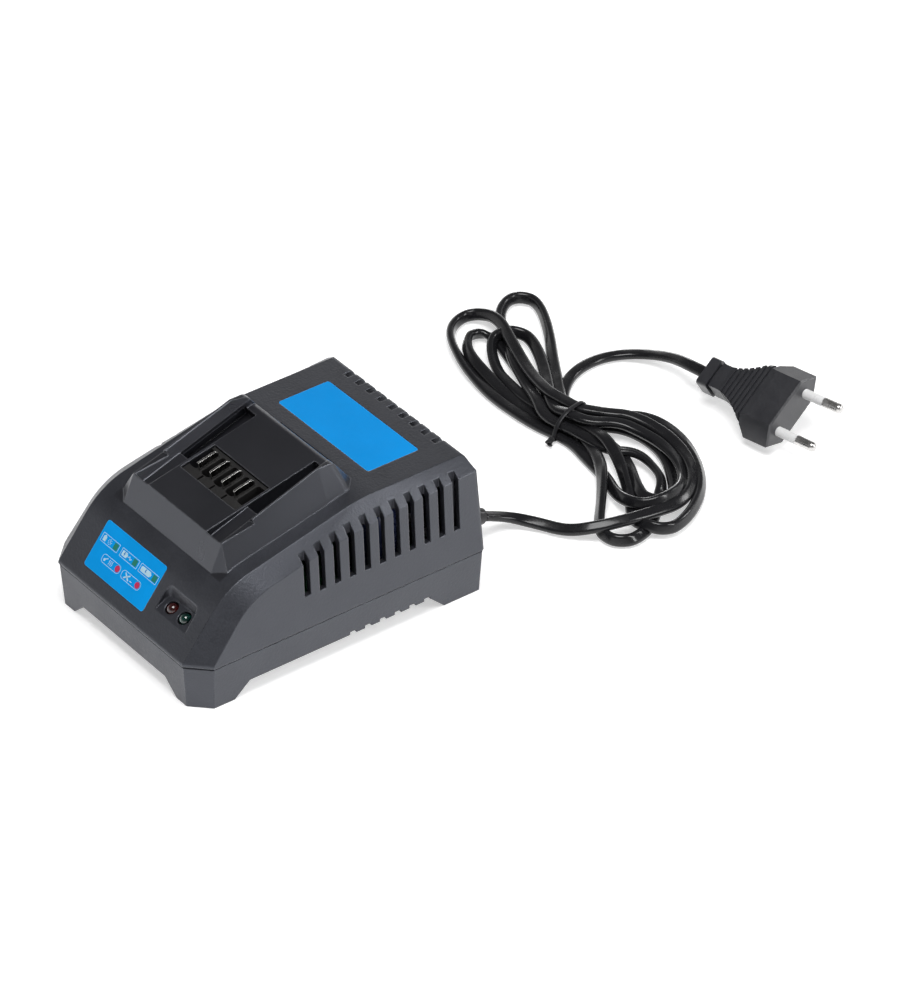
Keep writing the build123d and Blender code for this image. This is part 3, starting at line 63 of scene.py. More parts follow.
# ---------------------------------------------------------------- helpers
def put(name, data):
    """A new object for a mesh, a curve or a lamp, in the scene's own collection."""
    ob = bpy.data.objects.new(name, data)
    scene.collection.objects.link(ob)
    return ob


def mesh_of(name, bm):
    """The mesh of what was built in bm, with its faces turned outwards."""
    bmesh.ops.recalc_face_normals(bm, faces=bm.faces)
    mesh = bpy.data.meshes.new(name)
    bm.to_mesh(mesh)
    bm.free()
    return mesh


def tube(name, points, sections, ring):
    """A closed smooth skin: the ring of points (a, b) is set along the two axes of each section."""
    bm = bmesh.new()
    rows = []
    for p, (side, up) in zip(points, sections):
        rows.append([bm.verts.new(p + side * a + up * b) for a, b in ring])
    for here, there in zip(rows, rows[1:]):
        for j in range(len(ring)):
            k = (j + 1) % len(ring)
            bm.faces.new((here[j], here[k], there[k], there[j]))
    bm.faces.new(rows[0][::-1])
    bm.faces.new(rows[-1])
    for face in bm.faces:
        face.smooth = True
    return put(name, mesh_of(name, bm))


def rounded_box(width, height, radius, steps=4):
    """Outline of a rounded rectangle, centred, counter-clockwise."""
    out = []
    for sx, sy, start in ((1, 1, 0), (-1, 1, 90), (-1, -1, 180), (1, -1, 270)):
        cx, cy = sx * (width / 2 - radius), sy * (height / 2 - radius)
        for i in range(steps + 1):
            a = math.radians(start + 90 * i / steps)
            out.append((cx + radius * math.cos(a), cy + radius * math.sin(a)))
    return out


def heading_at(points, i):
    """Direction of a line of points at its point i."""
    return (points[min(i + 1, len(points) - 1)] - points[max(i - 1, 0)]).normalized()


def ease(t):
    """0 to 1 with a soft start and a soft end."""
    return t * t * (3 - 2 * t)


def feed(tree, source, target):
    """Gives an input a number, a colour, or the output of another node."""
    if isinstance(source, (int, float)):
        target.default_value = source
    elif isinstance(source, tuple):
        target.default_value = source if len(source) == 4 else (*source, 1.0)
    else:
        tree.links.new(source.outputs[0] if isinstance(source, bpy.types.Node) else source, target)


def add(tree, kind, inputs=None, operation=None):
    """A new shader node of that kind, with its inputs fed."""
    node = tree.nodes.new("ShaderNode" + kind)
    if operation:
        node.operation = operation
    for key, source in (inputs or {}).items():
        feed(tree, source, node.inputs[key])
    return node


# ---------------------------------------------------------------- cord
# control points of its route: x, y, z in millimetres, and roll in degrees
ROUTE = [
    # leaves the boot and lies over the loops
    (20.0, 85.667, 9.224, 0), (20.0, 95.866, 5.103, 0), (28.0, 105.0, 2.6, -25),
    (39.5, 111.0, 2.6, -32), (47.3, 117.7, 5.5, -32), (52.5, 130.1, 6.8, -25),
    (53.9, 142.7, 6.1, -25), (54.2, 154.9, 5.0, -35), (47.5, 167.0, 4.5, -50),
    (35.4, 175.6, 4.5, -20), (19.8, 179.4, 4.9, 20), (7.1, 177.5, 6.4, 10),
    (-1.3, 173.6, 7.6, 0), (-5.1, 168.4, 8.2, 0),
    # through the tie
    (-10.4, 164.5, 8.0, 0), (-15.6, 160.6, 8.1, 0), (-24.3, 159.2, 8.2, 0),
    # left loop
    (-32.3, 157.8, 8.5, 0), (-48.1, 161.4, 7.0, 0), (-67.3, 168.3, 6.7, 30),
    (-86.5, 175.8, 6.6, 50), (-97.5, 174.1, 3.7, 70), (-100.7, 167.5, 2.8, 75),
    (-95.7, 157.7, 2.8, 75), (-83.1, 151.1, 3.1, 60), (-67.1, 146.5, 2.4, 30),
    (-49.0, 144.3, 1.7, 0), (-32.5, 144.8, 1.9, 0),
    # through the tie
    (-22.1, 146.2, 1.7, 0), (-13.4, 148.5, 1.7, 0), (-4.7, 149.8, 1.5, 0),
    # right loop
    (5.7, 147.7, 1.6, 0), (19.8, 145.7, 2.0, -20), (33.1, 140.2, 3.6, -50),
    (42.8, 139.2, 5.8, -60), (48.8, 142.9, 6.2, -60), (51.1, 150.0, 7.6, -60),
    (48.3, 160.1, 6.4, -60), (40.0, 167.8, 4.4, -40), (29.7, 172.7, 4.7, -20),
    (18.0, 173.9, 5.2, 0), (8.2, 171.7, 6.0, 0), (0.2, 167.9, 7.4, 0),
    # through the tie
    (-6.2, 157.7, 8.1, 0), (-14.9, 155.5, 8.1, 0), (-24.0, 153.7, 6.3, 0),
    # left loop
    (-39.0, 163.5, 5.1, 0), (-56.6, 173.9, 4.3, 20), (-71.1, 179.8, 3.5, 50),
    (-76.7, 178.0, 4.1, 70), (-79.5, 173.3, 5.0, 70), (-78.2, 164.8, 4.7, 60),
    (-63.4, 156.2, 2.7, 30), (-50.2, 153.8, 2.4, 0), (-35.0, 152.8, 2.8, 0),
    # through the tie
    (-23.6, 154.8, 3.8, 0), (-15.0, 156.0, 4.8, 0), (-6.2, 158.1, 5.1, 0),
    # right loop
    (5.9, 157.2, 7.3, 0), (17.7, 154.0, 5.3, -30), (28.1, 149.0, 3.3, -60),
    (38.9, 143.0, 2.2, -30), (49.8, 135.3, 2.5, 0), (57.5, 135.7, 5.0, -50),
    (62.3, 139.2, 4.2, -70), (63.9, 145.7, 3.6, -70), (58.4, 158.4, 3.3, -60),
    (47.8, 171.2, 2.8, -60), (32.6, 180.6, 2.7, -50), (16.4, 185.4, 2.6, -20),
    (2.2, 184.4, 2.8, 0), (-5.4, 177.4, 3.8, 0),
    # through the tie
    (-8.2, 164.6, 4.7, 0), (-15.8, 160.6, 5.0, 0), (-24.9, 159.3, 4.8, 0),
    # left loop
    (-37.6, 167.4, 4.0, 0), (-54.7, 178.1, 3.0, 30), (-73.4, 190.6, 2.9, 60),
    (-90.8, 198.9, 2.8, 75), (-97.5, 195.5, 3.2, 75), (-99.0, 189.2, 3.1, 75),
    (-92.3, 179.9, 2.7, 50), (-76.1, 172.8, 2.0, 10), (-62.0, 163.7, 4.9, 0),
    (-44.6, 157.6, 4.3, 0), (-32.5, 153.2, 6.1, 0),
    # through the tie
    (-22.7, 148.7, 5.7, 0), (-13.9, 151.0, 4.9, 0), (-5.2, 152.7, 5.3, 0),
    # right loop
    (9.6, 155.7, 3.9, 0), (16.7, 163.4, 4.5, 20), (27.8, 163.8, 3.0, 50),
    (37.6, 159.8, 3.7, 60), (44.8, 151.8, 1.9, 20), (55.8, 139.5, 1.7, 0),
    (59.7, 128.8, 2.7, 50), (57.8, 123.5, 2.9, 70), (53.5, 120.8, 2.8, 70),
    (46.0, 121.5, 2.6, 50), (33.3, 133.1, 3.7, 60), (23.8, 141.1, 5.5, 50),
    (12.5, 148.8, 4.6, 10),
    # through the tie
    (-5.4, 155.6, 1.5, 0), (-14.5, 153.6, 1.8, 0), (-22.7, 151.7, 1.7, 0),
    # left loop
    (-29.2, 149.7, 1.5, 0), (-42.6, 148.8, 1.5, 0), (-58.2, 149.7, 3.3, 20),
    (-77.7, 153.1, 3.6, 50), (-86.7, 160.0, 3.4, 70), (-87.4, 163.8, 3.2, 70),
    (-86.3, 166.8, 2.9, 60), (-83.4, 168.9, 2.5, 30), (-77.3, 169.1, 1.7, 10),
    (-53.5, 162.4, 1.6, 0), (-37.3, 158.4, 1.7, 0),
    # through the tie
    (-24.4, 156.8, 1.5, 0), (-15.5, 158.5, 1.7, 0), (-6.7, 160.4, 1.7, 0),
    # right loop
    (4.5, 160.8, 1.7, 0), (16.8, 158.7, 2.0, -20), (33.2, 150.1, 3.7, -50),
    (40.8, 146.9, 4.3, -30), (44.8, 147.7, 4.6, -20), (47.4, 150.0, 4.5, -20),
    (48.4, 153.4, 3.9, -40), (47.0, 158.4, 2.9, -50), (27.8, 170.8, 2.2, -20),
    (13.1, 174.6, 1.7, 0), (-0.3, 172.3, 1.7, 0),
    # through the tie
    (-7.8, 165.5, 1.7, 0), (-16.6, 163.5, 1.7, 0), (-25.4, 161.7, 1.7, 0),
    # out from under the loops to the plug
    (-34.8, 167.1, 1.5, 0), (-43.0, 178.0, 1.8, 0), (-45.8, 190.5, 1.8, 0),
    (-43.0, 201.5, 2.0, 0), (-34.5, 210.0, 3.4, 0), (-23.0, 213.5, 6.4, 0),
    (-10.145, 212.3, 10.0, 0), (-0.281, 213.123, 10.675, 0),
]
# millimetres
CORD_WIDTH, CORD_THICKNESS, CORD_CORNER = 5.0, 3.1, 1.5
WAIST_DEPTH, WAIST_WIDTH = 0.16, 0.7
# points of the path to each control point, passes that soften the rolls, points that turn with the plug
PATH_STEPS, ROLL_PASSES, PLUG_STEPS = 10, 6, 26
PLUG_AXIS = Vector((0.98643, 0.14971, 0.06740)).normalized()
PLUG_ACROSS = Vector((-0.163, 0.8434, 0.512))


def spline_path(route):
    """Points along the quadratic spline of the route's control points."""
    curve = bpy.data.curves.new("cord_line", "CURVE")
    curve.dimensions = "3D"
    spline = curve.splines.new("NURBS")
    spline.points.add(len(route) - 1)
    for point, (x, y, z, _) in zip(spline.points, route):
        point.co = (x * MM, y * MM, z * MM, 1.0)
    spline.order_u = 3
    spline.use_endpoint_u = True
    curve.resolution_u = PATH_STEPS
    line = put("cord_line", curve)
    bpy.context.view_layer.update()
    line_mesh = bpy.data.meshes.new_from_object(line)
    points = [v.co.copy() for v in line_mesh.vertices]
    bpy.data.objects.remove(line)
    return points


def rolls_along(route, count):
    """The route's rolls in radians, spread over that many points of the path and softened."""
    rolls = []
    spans = len(route) - 2
    for i in range(count):
        place = i / (count - 1) * spans + 0.5
        low = min(int(place), spans)
        part = ease(place - low)
        rolls.append(math.radians(route[low][3] * (1 - part) + route[low + 1][3] * part))
    for _ in range(ROLL_PASSES):
        inner = [(a + 2 * b + c) / 4 for a, b, c in zip(rolls, rolls[1:], rolls[2:])]
        rolls = [rolls[0], *inner, rolls[-1]]
    return rolls


def sections_along(points, rolls):
    """Side and up axes of the sheath at each point; the last stretch turns with the plug."""
    across = (PLUG_ACROSS - PLUG_AXIS * PLUG_ACROSS.dot(PLUG_AXIS)).normalized()
    sections = []
    for i, roll in enumerate(rolls):
        ahead = heading_at(points, i)
        level = ahead.cross(UPWARD).normalized()
        above = level.cross(ahead).normalized()
        side = level * math.cos(roll) + above * math.sin(roll)
        up = above * math.cos(roll) - level * math.sin(roll)
        left = (len(points) - 1 - i) / PLUG_STEPS
        if left < 1:
            turned = 1 - ease(left)
            want = across if side.dot(across) > 0 else -across
            side = side * (1 - turned) + want * turned
            side = (side - ahead * side.dot(ahead)).normalized()
            up = side.cross(ahead).normalized()
            if up.z <= 0:
                up = -up
        sections.append((side, up))
    return sections


def cord_ring():
    """Section of the flat two-core sheath: rounded, with a slight waist between the cores."""
    ring = []
    for a, b in rounded_box(CORD_WIDTH, CORD_THICKNESS, CORD_CORNER, 5):
        dent = WAIST_DEPTH * math.exp(-((a / WAIST_WIDTH) ** 2))
        ring.append((a * MM, (b - math.copysign(dent, b)) * MM))
    return ring


path = spline_path(ROUTE)
cord = tube("cord", path, sections_along(path, rolls_along(ROUTE, len(path))), cord_ring())
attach(cord, "root")
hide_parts("cord_near_run", "cord_hank", "cord_far_run")


# ---------------------------------------------------------------- wire tie round the loops
TIE = Vector((-15.0, 156.0, 0.0)) * MM
TIE_TURN = math.radians(12)
HEADING = Vector((math.cos(TIE_TURN), math.sin(TIE_TURN), 0))
SIDEWAYS = Vector((-HEADING.y, HEADING.x, 0))
# once round the bundle, millimetres: across it, above the floor and along it
TIE_LINE = [
    (-10.9, 1.8, 0.4), (-9.9, 4.0, 0.2), (-7.6, 6.95, 0.0), (-4.7, 8.8, -0.1), (-1.5, 9.95, -0.1),
    (2.4, 10.25, 0.0), (6.1, 10.1, 0.1), (8.0, 8.7, 0.2), (9.2, 6.0, 0.2), (10.4, 3.1, 0.1),
    (10.6, 1.3, 0.0), (9.2, 0.42, -0.1), (4.5, 0.4, 0.0), (0.0, 0.4, 0.0), (-4.5, 0.4, 0.0),
    (-9.2, 0.45, 0.1), (-10.6, 1.0, 0.2), (-11.3, 1.7, 0.5),
]
TIE_MIDDLE = TIE + UPWARD * 4.6 * MM
# width, thickness and corner radius in millimetres
LOOP_SECTION = (1.7, 0.75, 0.34)
END_SECTION = (1.25, 0.95, 0.42)
LOOP_STEPS, END_STEPS, END_TURNS = 6, 40, 1.5
# the two ends: where they leave the bundle and how far they run, in the directions of TIE_LINE;
# the radius they wind at, how much it grows at the tips, and the lowest they lie, millimetres
END_FROM, END_RUN = (-11.3, 2.1, 0.3), (-3.2, -0.5, 0.8)
END_RADIUS, TIP_GROWTH, END_LOWEST = 0.72, 0.5, 0.9
TIP_FROM = 0.8


def by_tie(across, high, along):
    """A place near the tie, given in millimetres in the directions of TIE_LINE."""
    return TIE + SIDEWAYS * (across * MM) + UPWARD * (high * MM) + HEADING * (along * MM)


def smooth_line(points, steps):
    """Points along a Catmull-Rom curve through the given ones."""
    last = len(points) - 1
    out = []
    for i in range(last):
        before, here = points[max(i - 1, 0)], points[i]
        there, after = points[i + 1], points[min(i + 2, last)]
        square = 2 * before - 5 * here + 4 * there - after
        cube = 3 * here - before - 3 * there + after
        for s in range(steps):
            t = s / steps
            out.append(0.5 * (2 * here + (there - before) * t + square * t * t + cube * t**3))
    return [*out, points[-1]]


def wire(name, points, section, out_of=None):
    """A flat wire with rounded edges; its broad side faces up, or away from out_of."""
    sections = []
    for i, p in enumerate(points):
        ahead = heading_at(points, i)
        away = UPWARD if out_of is None else p - out_of
        away = (away - ahead * away.dot(ahead)).normalized()
        sections.append((ahead.cross(away).normalized(), away))
    return tube(name, points, sections, [(a * MM, b * MM) for a, b in rounded_box(*section)])


def tie_end(name, start):
    """One end of the tie: it winds round the other away from the bundle, and their tips part."""
    points = []
    for i in range(END_STEPS + 1):
        t = i / END_STEPS
        shares = (t, t, t * t)
        centre = by_tie(*(a + run * share for a, run, share in zip(END_FROM, END_RUN, shares)))
        turn = t * 2 * math.pi * END_TURNS + start
        radius = (END_RADIUS + TIP_GROWTH * max(0, t - TIP_FROM) / (1 - TIP_FROM)) * MM
        lift = max(math.sin(turn) * radius, END_LOWEST * MM - centre.z)
        points.append(centre + HEADING * math.cos(turn) * radius + UPWARD * lift)
    return wire(name, points, END_SECTION)


tie_points = smooth_line([by_tie(*p) for p in TIE_LINE], LOOP_STEPS)
tie_loop = wire("tie_loop", tie_points, LOOP_SECTION, TIE_MIDDLE)
twist = [tie_end("tie_end_a", 0), tie_end("tie_end_b", math.pi)]
for ob in [tie_loop] + twist:
    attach(ob, "root")
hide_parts("cord_tie")


# -------------------------------------------------------- status marks, printed on the front label
LABEL_SLOPE = math.radians(51.54)
FACE_RIGHT = Vector((1, 0, 0))
FACE_UP = Vector((0, math.cos(LABEL_SLOPE), math.sin(LABEL_SLOPE)))
FACE_OUT = Vector((0, -math.sin(LABEL_SLOPE), math.cos(LABEL_SLOPE)))
# foot and top of the ink from the label's face, and the width of a drawn frame, millimetres
INK_FOOT, INK, FRAME_WALL = -0.02, 0.05, 0.17


def middle_of(values):
    return (min(values) + max(values)) / 2


label = nodes["status_label"]
label_points = [label.matrix_world @ v.co for v in label.data.vertices]
label_top = max(p.dot(FACE_OUT) for p in label_points)
on_face = [p for p in label_points if p.dot(FACE_OUT) > label_top - 0.02 * MM]
mid_right = middle_of([p.x for p in on_face])
mid_up = middle_of([p.dot(FACE_UP) for p in on_face])
label_middle = FACE_RIGHT * mid_right + FACE_UP * mid_up + FACE_OUT * label_top


def plate(bm, outline, hole=None, top=INK):
    """A thin printed plate, in label millimetres; a hole has as many points as the outline."""
    def rim(shape, h):
        at = [FACE_RIGHT * (u * MM) + FACE_UP * (v * MM) + FACE_OUT * (h * MM) for u, v in shape]
        return [bm.verts.new(label_middle + offset) for offset in at]

    foot, upper = rim(outline, INK_FOOT), rim(outline, top)
    if hole is None:
        bm.faces.new(upper)
        bm.faces.new(foot[::-1])
    else:
        hole_foot, hole_upper = rim(hole, INK_FOOT), rim(hole, top)
    for i in range(len(outline)):
        j = (i + 1) % len(outline)
        if hole is not None:
            bm.faces.new((upper[i], upper[j], hole_upper[j], hole_upper[i]))
            bm.faces.new((foot[j], foot[i], hole_foot[i], hole_foot[j]))
            bm.faces.new((hole_foot[j], hole_foot[i], hole_upper[i], hole_upper[j]))
        bm.faces.new((foot[i], foot[j], upper[j], upper[i]))


def box_at(u0, v0, u1, v1, r, steps=4):
    """Outline of a rounded box between two corners."""
    middle_u, middle_v = (u0 + u1) / 2, (v0 + v1) / 2
    return [(middle_u + a, middle_v + b) for a, b in rounded_box(u1 - u0, v1 - v0, r, steps)]


def outlined(bm, u0, v0, u1, v1, r):
    """A rounded box drawn as a frame."""
    wall = FRAME_WALL
    inner = box_at(u0 + wall, v0 + wall, u1 - wall, v1 - wall, max(r - wall, 0.05), 5)
    plate(bm, box_at(u0, v0, u1, v1, r, 5), inner)


def disc(u, v, r, n=28):
    turns = [2 * math.pi * i / n for i in range(n)]
    return [(u + r * math.cos(a), v + r * math.sin(a)) for a in turns]


def stroke(bm, points, width):
    """Straight strokes from point to point, each a quarter of its width longer at both ends."""
    for (u0, v0), (u1, v1) in zip(points, points[1:]):
        length = math.hypot(u1 - u0, v1 - v0)
        du, dv = (u1 - u0) / length * width / 2, (v1 - v0) / length * width / 2
        ends = ((u0, v0, -0.5, 1), (u0, v0, -0.5, -1), (u1, v1, 0.5, -1), (u1, v1, 0.5, 1))
        plate(bm, [(u + du * on - dv * out, v + dv * on + du * out) for u, v, on, out in ends])


def marks(name, draw):
    """All marks of one colour as one piece."""
    bm = bmesh.new()
    draw(bm)
    ob = put(name, mesh_of(name, bm))
    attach(ob, "root")
    return ob


def white_marks(bm):
    for u0, u1 in ((-17.7, -7.0), (-5.4, 5.6), (6.7, 17.9)):
        outlined(bm, u0, 1.35, u1, 4.85, 0.3)
    for u0, u1 in ((-12.4, -0.9), (0.2, 12.0)):
        outlined(bm, u0, -4.75, u1, -1.25, 1.5)
    # full battery standing up, and a clock of dots
    plate(bm, box_at(-16.7, 2.0, -15.0, 4.0, 0.25))
    plate(bm, box_at(-16.25, 3.95, -15.45, 4.35, 0.1))
    for u, v in disc(-12.6, 3.1, 0.95, 8):
        plate(bm, disc(u, v, 0.17, 10))
    stroke(bm, [(-12.6, 3.75), (-12.6, 3.1), (-12.1, 2.8)], 0.22)
    # battery with a lead
    plate(bm, box_at(-4.6, 2.1, -1.6, 4.15, 0.3))
    plate(bm, box_at(-1.65, 2.7, -1.2, 3.55, 0.1))
    stroke(bm, [(-0.7, 3.1), (0.0, 3.6), (0.6, 2.6), (1.3, 3.1)], 0.3)
    # charged battery lying down
    plate(bm, box_at(7.6, 2.05, 13.4, 4.15, 0.5))
    plate(bm, box_at(13.35, 2.65, 13.85, 3.55, 0.15))
    # thermometer, and rising heat
    plate(bm, disc(-10.7, -3.35, 0.55))
    stroke(bm, [(-10.4, -3.0), (-9.2, -2.2)], 0.34)
    for u in (-8.0, -7.15, -6.3):
        stroke(bm, [(u, -3.9), (u + 0.3, -3.2), (u, -2.6), (u + 0.3, -2.0)], 0.22)
    # faulty battery: a cross
    stroke(bm, [(2.2, -4.0), (4.9, -2.0)], 0.55)
    stroke(bm, [(2.2, -2.0), (4.9, -4.0)], 0.55)
    stroke(bm, [(5.9, -3.6), (6.9, -3.6)], 0.3)


def green_marks(bm):
    for u in (-8.75, 3.6, 16.15):
        plate(bm, box_at(u - 1.25, 1.85, u + 1.15, 4.35, 0.15))


def red_marks(bm):
    for u in (-2.65, 10.15):
        plate(bm, disc(u, -3.0, 1.3))


def bolt_marks(bm):
    """Lightning bolts, a little above the white ink that they cross."""
    bolt = [(-0.15, 0.85), (-0.55, -0.15), (-0.05, -0.1), (-0.2, -0.85),
            (0.5, 0.15), (0.02, 0.12), (0.35, 0.85)]
    for u, v in ((-3.1, 3.1), (10.5, 3.1)):
        plate(bm, [(u + a, v + b) for a, b in bolt], top=INK + 0.03)


status_white = marks("status_marks_white", white_marks)
status_green = marks("status_marks_green", green_marks)
status_red = marks("status_marks_red", red_marks)
status_bolt = marks("status_marks_bolt", bolt_marks)


# ---------------------------------------------------------------- materials
class Look:
    """One procedural material and short ways to add nodes to it."""

    def __init__(self, name):
        self.mat = bpy.data.materials.new(name)
        self.mat.use_nodes = True
        self.tree = self.mat.node_tree
        self.tree.nodes.clear()
        self.bsdf = self.add("BsdfPrincipled")
        self.add("OutputMaterial", {"Surface": self.bsdf})
        self.place = self.add("TexCoord").outputs["Object"]
        self.normal = None

    def add(self, kind, inputs=None, operation=None):
        return add(self.tree, kind, inputs, operation)

    def set(self, **values):
        """Values of the surface's own inputs, with an underscore for each space of a name."""
        for key, value in values.items():
            self.bsdf.inputs[key.replace("_", " ")].default_value = value

    def color(self, source):
        feed(self.tree, source, self.bsdf.inputs["Base Color"])

    def rough(self, source):
        feed(self.tree, source, self.bsdf.inputs["Roughness"])

    def noise(self, scale, detail, rough, stretch=None):
        source = self.place
        if stretch:
            mapping = self.add("Mapping", {"Vector": source})
            mapping.inputs["Scale"].default_value = stretch
            source = mapping
        inputs = {"Scale": scale, "Detail": detail, "Roughness": rough, "Vector": source}
        return self.add("TexNoise", inputs).outputs["Fac"]

    def cells(self, scale, feature="F1"):
        node = self.add("TexVoronoi", {"Vector": self.place})
        node.feature = feature
        node.inputs["Scale"].default_value = scale
        return node.outputs["Distance"]

    def math(self, what, a, b=0.0, c=0.0):
        return self.add("Math", {0: a, 1: b, 2: c}, what).outputs[0]

    def times(self, a, b):
        return self.math("MULTIPLY", a, b)

    def less(self, source, by):
        """1 less a share of the source."""
        return self.math("SUBTRACT", 1.0, self.times(source, by))

    def span(self, source, low, high, to_low, to_high):
        """Maps the range low to high onto to_low to to_high, and keeps within it."""
        ends = {"From Min": low, "From Max": high, "To Min": to_low, "To Max": to_high}
        return self.add("MapRange", {"Value": source, **ends}).outputs[0]

    def vary(self, noise, to_low, to_high):
        """A noise's usual range, mapped onto to_low to to_high."""
        return self.span(noise, 0.3, 0.7, to_low, to_high)

    def rises(self, source, at, soft):
        """0 below a place and 1 above it."""
        return self.span(source, at - soft, at + soft, 0.0, 1.0)

    def falls(self, source, at, soft):
        """1 below a place and 0 above it."""
        return self.span(source, at - soft, at + soft, 1.0, 0.0)

    def blend(self, fac, a, b):
        """The colour a where fac is 0, and b where it is 1."""
        node = self.add("Mix")
        node.data_type = "RGBA"
        for socket, source in ((0, fac), (6, a), (7, b)):
            feed(self.tree, source, node.inputs[socket])
        return node.outputs[2]

    def drift(self, noise, color, darker, lighter):
        """The colour, drifting between two factors of itself."""
        return self.blend(self.vary(noise, 0, 1), shade(color, darker), shade(color, lighter))

    def bevel(self, radius, samples):
        node = self.add("Bevel", {"Radius": radius})
        node.samples = samples
        return node.outputs[0]

    def edges(self, radius, flat=0.985, sharp=0.90):
        """1 on edges tighter than the radius, 0 on open faces: by how far the rounded normal leans."""
        normals = {0: self.bevel(radius, samples=4), 1: self.add("NewGeometry").outputs["Normal"]}
        lean = self.add("VectorMath", normals, "DOT_PRODUCT").outputs["Value"]
        return self.span(lean, sharp, flat, 1.0, 0.0)

    def lean_on(self, normal):
        """Makes this the surface's normal, which the next bump adds to."""
        self.normal = normal
        self.tree.links.new(normal, self.bsdf.inputs["Normal"])

    def round_edges(self, radius, samples=6):
        """Shades every edge as if it were rounded to that radius."""
        self.lean_on(self.bevel(radius, samples))

    def bump(self, height, distance):
        inputs = {"Height": height, "Distance": distance, "Strength": 1.0}
        if self.normal is not None:
            inputs["Normal"] = self.normal
        self.lean_on(self.add("Bump", inputs).outputs[0])


def shade(color, by):
    return tuple(min(max(c * by, 0.0), 1.0) for c in color)


def plastic(name, color, rough, grain=1400, depth=0.00004, spread=0.10, wear=0.25, edge=0.0005,
            spec=0.5, coat=0.0):
    """Moulded plastic: eroded grain, slow colour drift, handled patches in the gloss, rubbed edges."""
    look = Look(name)
    fine = look.noise(grain, 2, 0.5)
    base = look.drift(look.noise(38, 4, 0.6), color, 1 - spread, 1 + spread)
    base = look.blend(look.span(fine, 0.35, 0.75, 0, 0.35), base, shade(color, 1.55))
    if wear > 0:
        wear_and_highlight_strength = look.span(look.noise(260, 4, 0.7), 0.35, 0.65, 0.15, wear)
        edge_wear_and_highlight = look.times(look.edges(edge), wear_and_highlight_strength)
        base = look.blend(edge_wear_and_highlight, base, tuple(min(c * 2.2 + 0.03, 1.0) for c in color))
    look.color(base)
    handled = look.vary(look.noise(70, 5, 0.62), rough - 0.08, rough + 0.08)
    look.rough(look.math("ADD", handled, look.vary(fine, -0.04, 0.04)))
    look.bump(fine, depth)
    look.bump(look.noise(grain * 0.4, 3, 0.6), depth * 1.2)
    look.set(Specular_IOR_Level=spec, Coat_Weight=coat, Coat_Roughness=0.1)
    return look


def metal(name, color, rough, brushed=(1, 1, 1), tarnish=(0.55, 0.50, 0.42), depth=0.0000012,
          rounded=0.0, face=1.0):
    """Metal with brushed streaks and tarnish. Below 1, face darkens all but the rounded edges: painted
    shade for the dark reflection in the open faces, so that only the edges stay bright.
    """
    look = Look(name)
    slow = look.noise(120, 4, 0.6)
    streak = look.noise(600, 2, 0.5, stretch=brushed)
    base = look.drift(slow, color, 0.94, 1.06)
    base = look.blend(look.span(look.noise(160, 5, 0.6), 0.5, 0.75, 0, 0.25), base, tarnish)
    # painted dark reflection: the open faces are darkened by the factor face, the rounded edges keep
    # the full colour
    if face < 1:
        darker = look.blend(face, (0.0, 0.0, 0.0), base)
        base = look.blend(look.edges(rounded, 0.995, 0.93), darker, base)
        look.round_edges(rounded, 16)
    look.color(base)
    streaks = look.vary(streak, rough - 0.06, rough + 0.08)
    look.rough(look.math("ADD", streaks, look.vary(slow, -0.03, 0.05)))
    look.bump(streak, depth)
    look.set(Metallic=1.0)
    return look


# where the upper case is polished, metres: the dock, the sloping deck below it and its front wall
DOCK_HALF_WIDTH, DOCK_REAR = 0.0340, 0.0192
DECK_FRONT, DECK_FRONT_HEIGHT, DECK_SLOPE, DECK_HIGHEST = -0.0458, 0.0454, 0.2375, 0.0596
WALL_FRONT, WALL_REAR, WALL_FOOT = -0.0444, -0.0384, 0.0441
# the polish starts this far above the deck, and its limits are this soft
DECK_GAP, DECK_SOFT, DOCK_SOFT, WALL_SOFT = 0.000275, 0.000125, 0.0002, 0.0001


def dock_area(look):
    """1 where the dock stands up out of the sloping deck of the case, 0 elsewhere."""
    split = look.add("SeparateXYZ", {0: look.place})
    x, y, z = split.outputs
    inside = look.falls(look.math("ABSOLUTE", x), DOCK_HALF_WIDTH, DOCK_SOFT)
    deck = look.math("MULTIPLY_ADD", y, DECK_SLOPE, DECK_FRONT_HEIGHT - DECK_FRONT * DECK_SLOPE)
    deck = look.math("MINIMUM", deck, DECK_HIGHEST)
    above = look.rises(look.math("SUBTRACT", z, deck), DECK_GAP, DECK_SOFT)
    wall = look.times(look.rises(y, WALL_FRONT, WALL_SOFT), look.falls(y, WALL_REAR, WALL_SOFT))
    wall = look.times(wall, look.rises(z, WALL_FOOT, WALL_SOFT))
    above = look.math("MAXIMUM", above, wall)
    return look.times(look.times(inside, above), look.falls(y, DOCK_REAR, DOCK_SOFT))


